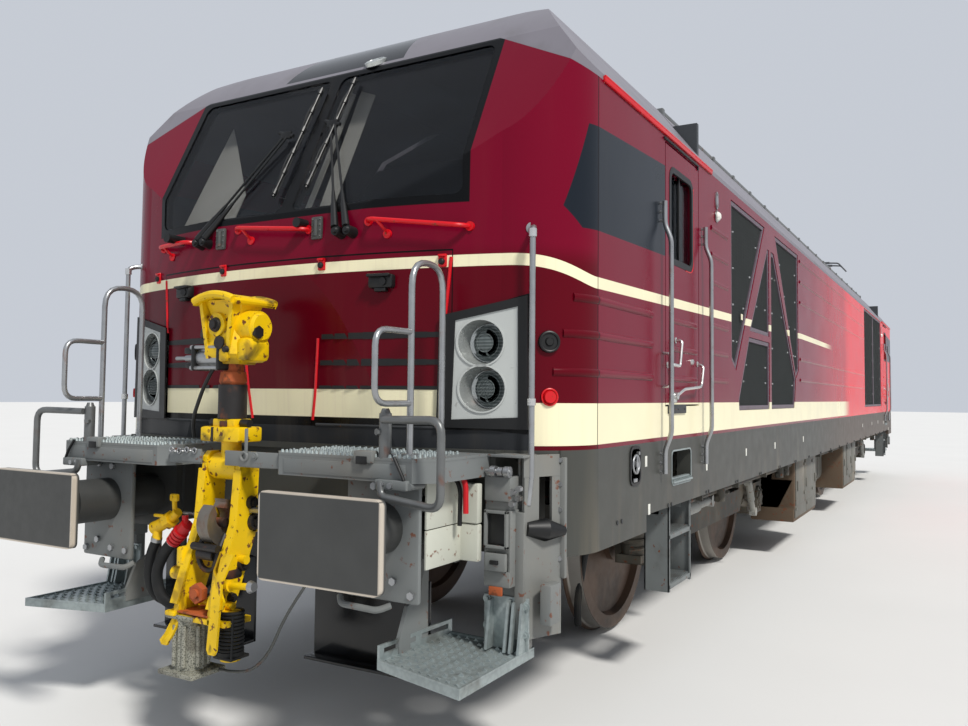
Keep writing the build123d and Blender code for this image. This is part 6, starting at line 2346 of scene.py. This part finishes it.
class LOCO_OT_frame_finishes(bpy.types.Operator):
    """Give every part of the frame its own finish"""
    bl_idname = "loco.frame_finishes"
    bl_label = "Frame finishes"

    def execute(self, context):
        FINISHES.update(build_finishes())
        for part in frame["record"]["subparts"]:
            target = NODES[part["node"]]
            target.data.materials.clear()
            target.data.materials.append(FINISHES[part["material_slot"]])
        return {"FINISHED"}


class LOCO_OT_stage(bpy.types.Operator):
    """Set up the floor, the lamps, the sky and the camera"""
    bl_idname = "loco.stage"
    bl_label = "Stage"

    def execute(self, context):
        settings = context.scene.locomotive
        add_floor(settings)
        add_sky(settings)
        add_sun(settings)
        add_camera()
        context.scene.view_settings.view_transform = "Standard"
        return {"FINISHED"}


def add_floor(settings):
    bm = bmesh.new()
    bmesh.ops.create_grid(bm, x_segments=1, y_segments=1, size=120.0)
    bmesh.ops.translate(bm, vec=(0.0, 0.0, -0.001), verts=bm.verts[:])
    mesh = bpy.data.meshes.new("floor")
    bm.to_mesh(mesh)
    bm.free()
    floor = bpy.data.objects.new("floor", mesh)
    bpy.context.scene.collection.objects.link(floor)
    f = Finish("floor_finish", roughness=0.9, specular=0.1)
    f.colour(f.shade(tuple(settings.floor_colour), f.noise(0.6, 3.0), 0.97, 1.03))
    mesh.materials.append(f.material)


def add_sky(settings):
    world = bpy.data.worlds.new("sky")
    world.use_nodes = True
    bpy.context.scene.world = world
    nodes, links = world.node_tree.nodes, world.node_tree.links
    back = nodes["Background"]
    rays = nodes.new("ShaderNodeLightPath")
    seen = nodes.new("ShaderNodeMath")
    seen.operation = "MAXIMUM"
    links.new(rays.outputs["Is Camera Ray"], seen.inputs[0])
    links.new(rays.outputs["Is Transmission Ray"], seen.inputs[1])
    mirrored = nodes.new("ShaderNodeMath")
    mirrored.operation = "MAXIMUM"
    links.new(seen.outputs[0], mirrored.inputs[0])
    links.new(rays.outputs["Is Glossy Ray"], mirrored.inputs[1])
    level = nodes.new("ShaderNodeMapRange")
    links.new(mirrored.outputs[0], level.inputs["Value"])
    level.inputs["To Min"].default_value = settings.sky_strength
    level.inputs["To Max"].default_value = 0.66
    back.inputs["Color"].default_value = (0.86, 0.91, 1.0, 1.0)
    links.new(level.outputs["Result"], back.inputs["Strength"])


def add_sun(settings):
    lamp = bpy.data.lights.new("sun", "SUN")
    lamp.energy = settings.sun_strength
    lamp.angle = math.radians(9.0)
    lamp.color = (1.0, 0.97, 0.92)
    sun = bpy.data.objects.new("sun", lamp)
    aim = Vector((-0.34, -0.7, -0.9))
    sun.rotation_euler = aim.to_track_quat("-Z", "Y").to_euler()
    bpy.context.scene.collection.objects.link(sun)


def add_camera():
    ahead = Vector((-math.cos(CAMERA_YAW) * math.cos(CAMERA_PITCH),
                    math.sin(CAMERA_YAW) * math.cos(CAMERA_PITCH), math.sin(CAMERA_PITCH)))
    level_right = ahead.cross(Vector((0, 0, 1))).normalized()
    level_up = level_right.cross(ahead)
    right = level_right * math.cos(CAMERA_ROLL) + level_up * math.sin(CAMERA_ROLL)
    up = right.cross(ahead)
    data = bpy.data.cameras.new("camera")
    data.sensor_width = SENSOR_MM
    data.lens = FOCAL_PX / IMAGE_PX[0] * SENSOR_MM
    data.shift_x = (IMAGE_PX[0] / 2 - CENTRE_PX[0]) / IMAGE_PX[0]
    data.shift_y = (CENTRE_PX[1] - IMAGE_PX[1] / 2) / IMAGE_PX[0]
    data.clip_end = 400.0
    camera = bpy.data.objects.new("camera", data)
    turn = Matrix((right, up, -ahead)).transposed().to_4x4()
    camera.matrix_world = Matrix.Translation(CAMERA_AT) @ turn
    bpy.context.scene.collection.objects.link(camera)
    bpy.context.scene.camera = camera


class LOCO_PT_panel(bpy.types.Panel):
    bl_label = "Locomotive"
    bl_idname = "LOCO_PT_panel"
    bl_space_type = "VIEW_3D"
    bl_region_type = "UI"
    bl_category = "Locomotive"

    def draw(self, context):
        settings = context.scene.locomotive
        for name in settings.__annotations__:
            self.layout.prop(settings, name)
        for operator in OPERATORS:
            self.layout.operator(operator.bl_idname)


OPERATORS = (
    LOCO_OT_frame_finishes,
    LOCO_OT_nose,
    LOCO_OT_lamps,
    LOCO_OT_wipers,
    LOCO_OT_sides,
    LOCO_OT_doors,
    LOCO_OT_grilles,
    LOCO_OT_ends,
    LOCO_OT_walls,
    LOCO_OT_underfloor,
    LOCO_OT_coupler,
    LOCO_OT_platform,
    LOCO_OT_cabs,
    LOCO_OT_stage,
)
CLASSES = (LocomotiveSettings,) + OPERATORS + (LOCO_PT_panel,)


def register():
    for item in CLASSES:
        bpy.utils.register_class(item)
    bpy.types.Scene.locomotive = PointerProperty(type=LocomotiveSettings)


def unregister():
    del bpy.types.Scene.locomotive
    for item in reversed(CLASSES):
        bpy.utils.unregister_class(item)


def main():
    register()
    for operator in OPERATORS:
        group, name = operator.bl_idname.split(".")
        getattr(getattr(bpy.ops, group), name)()


if __name__ == "__main__":
    main()
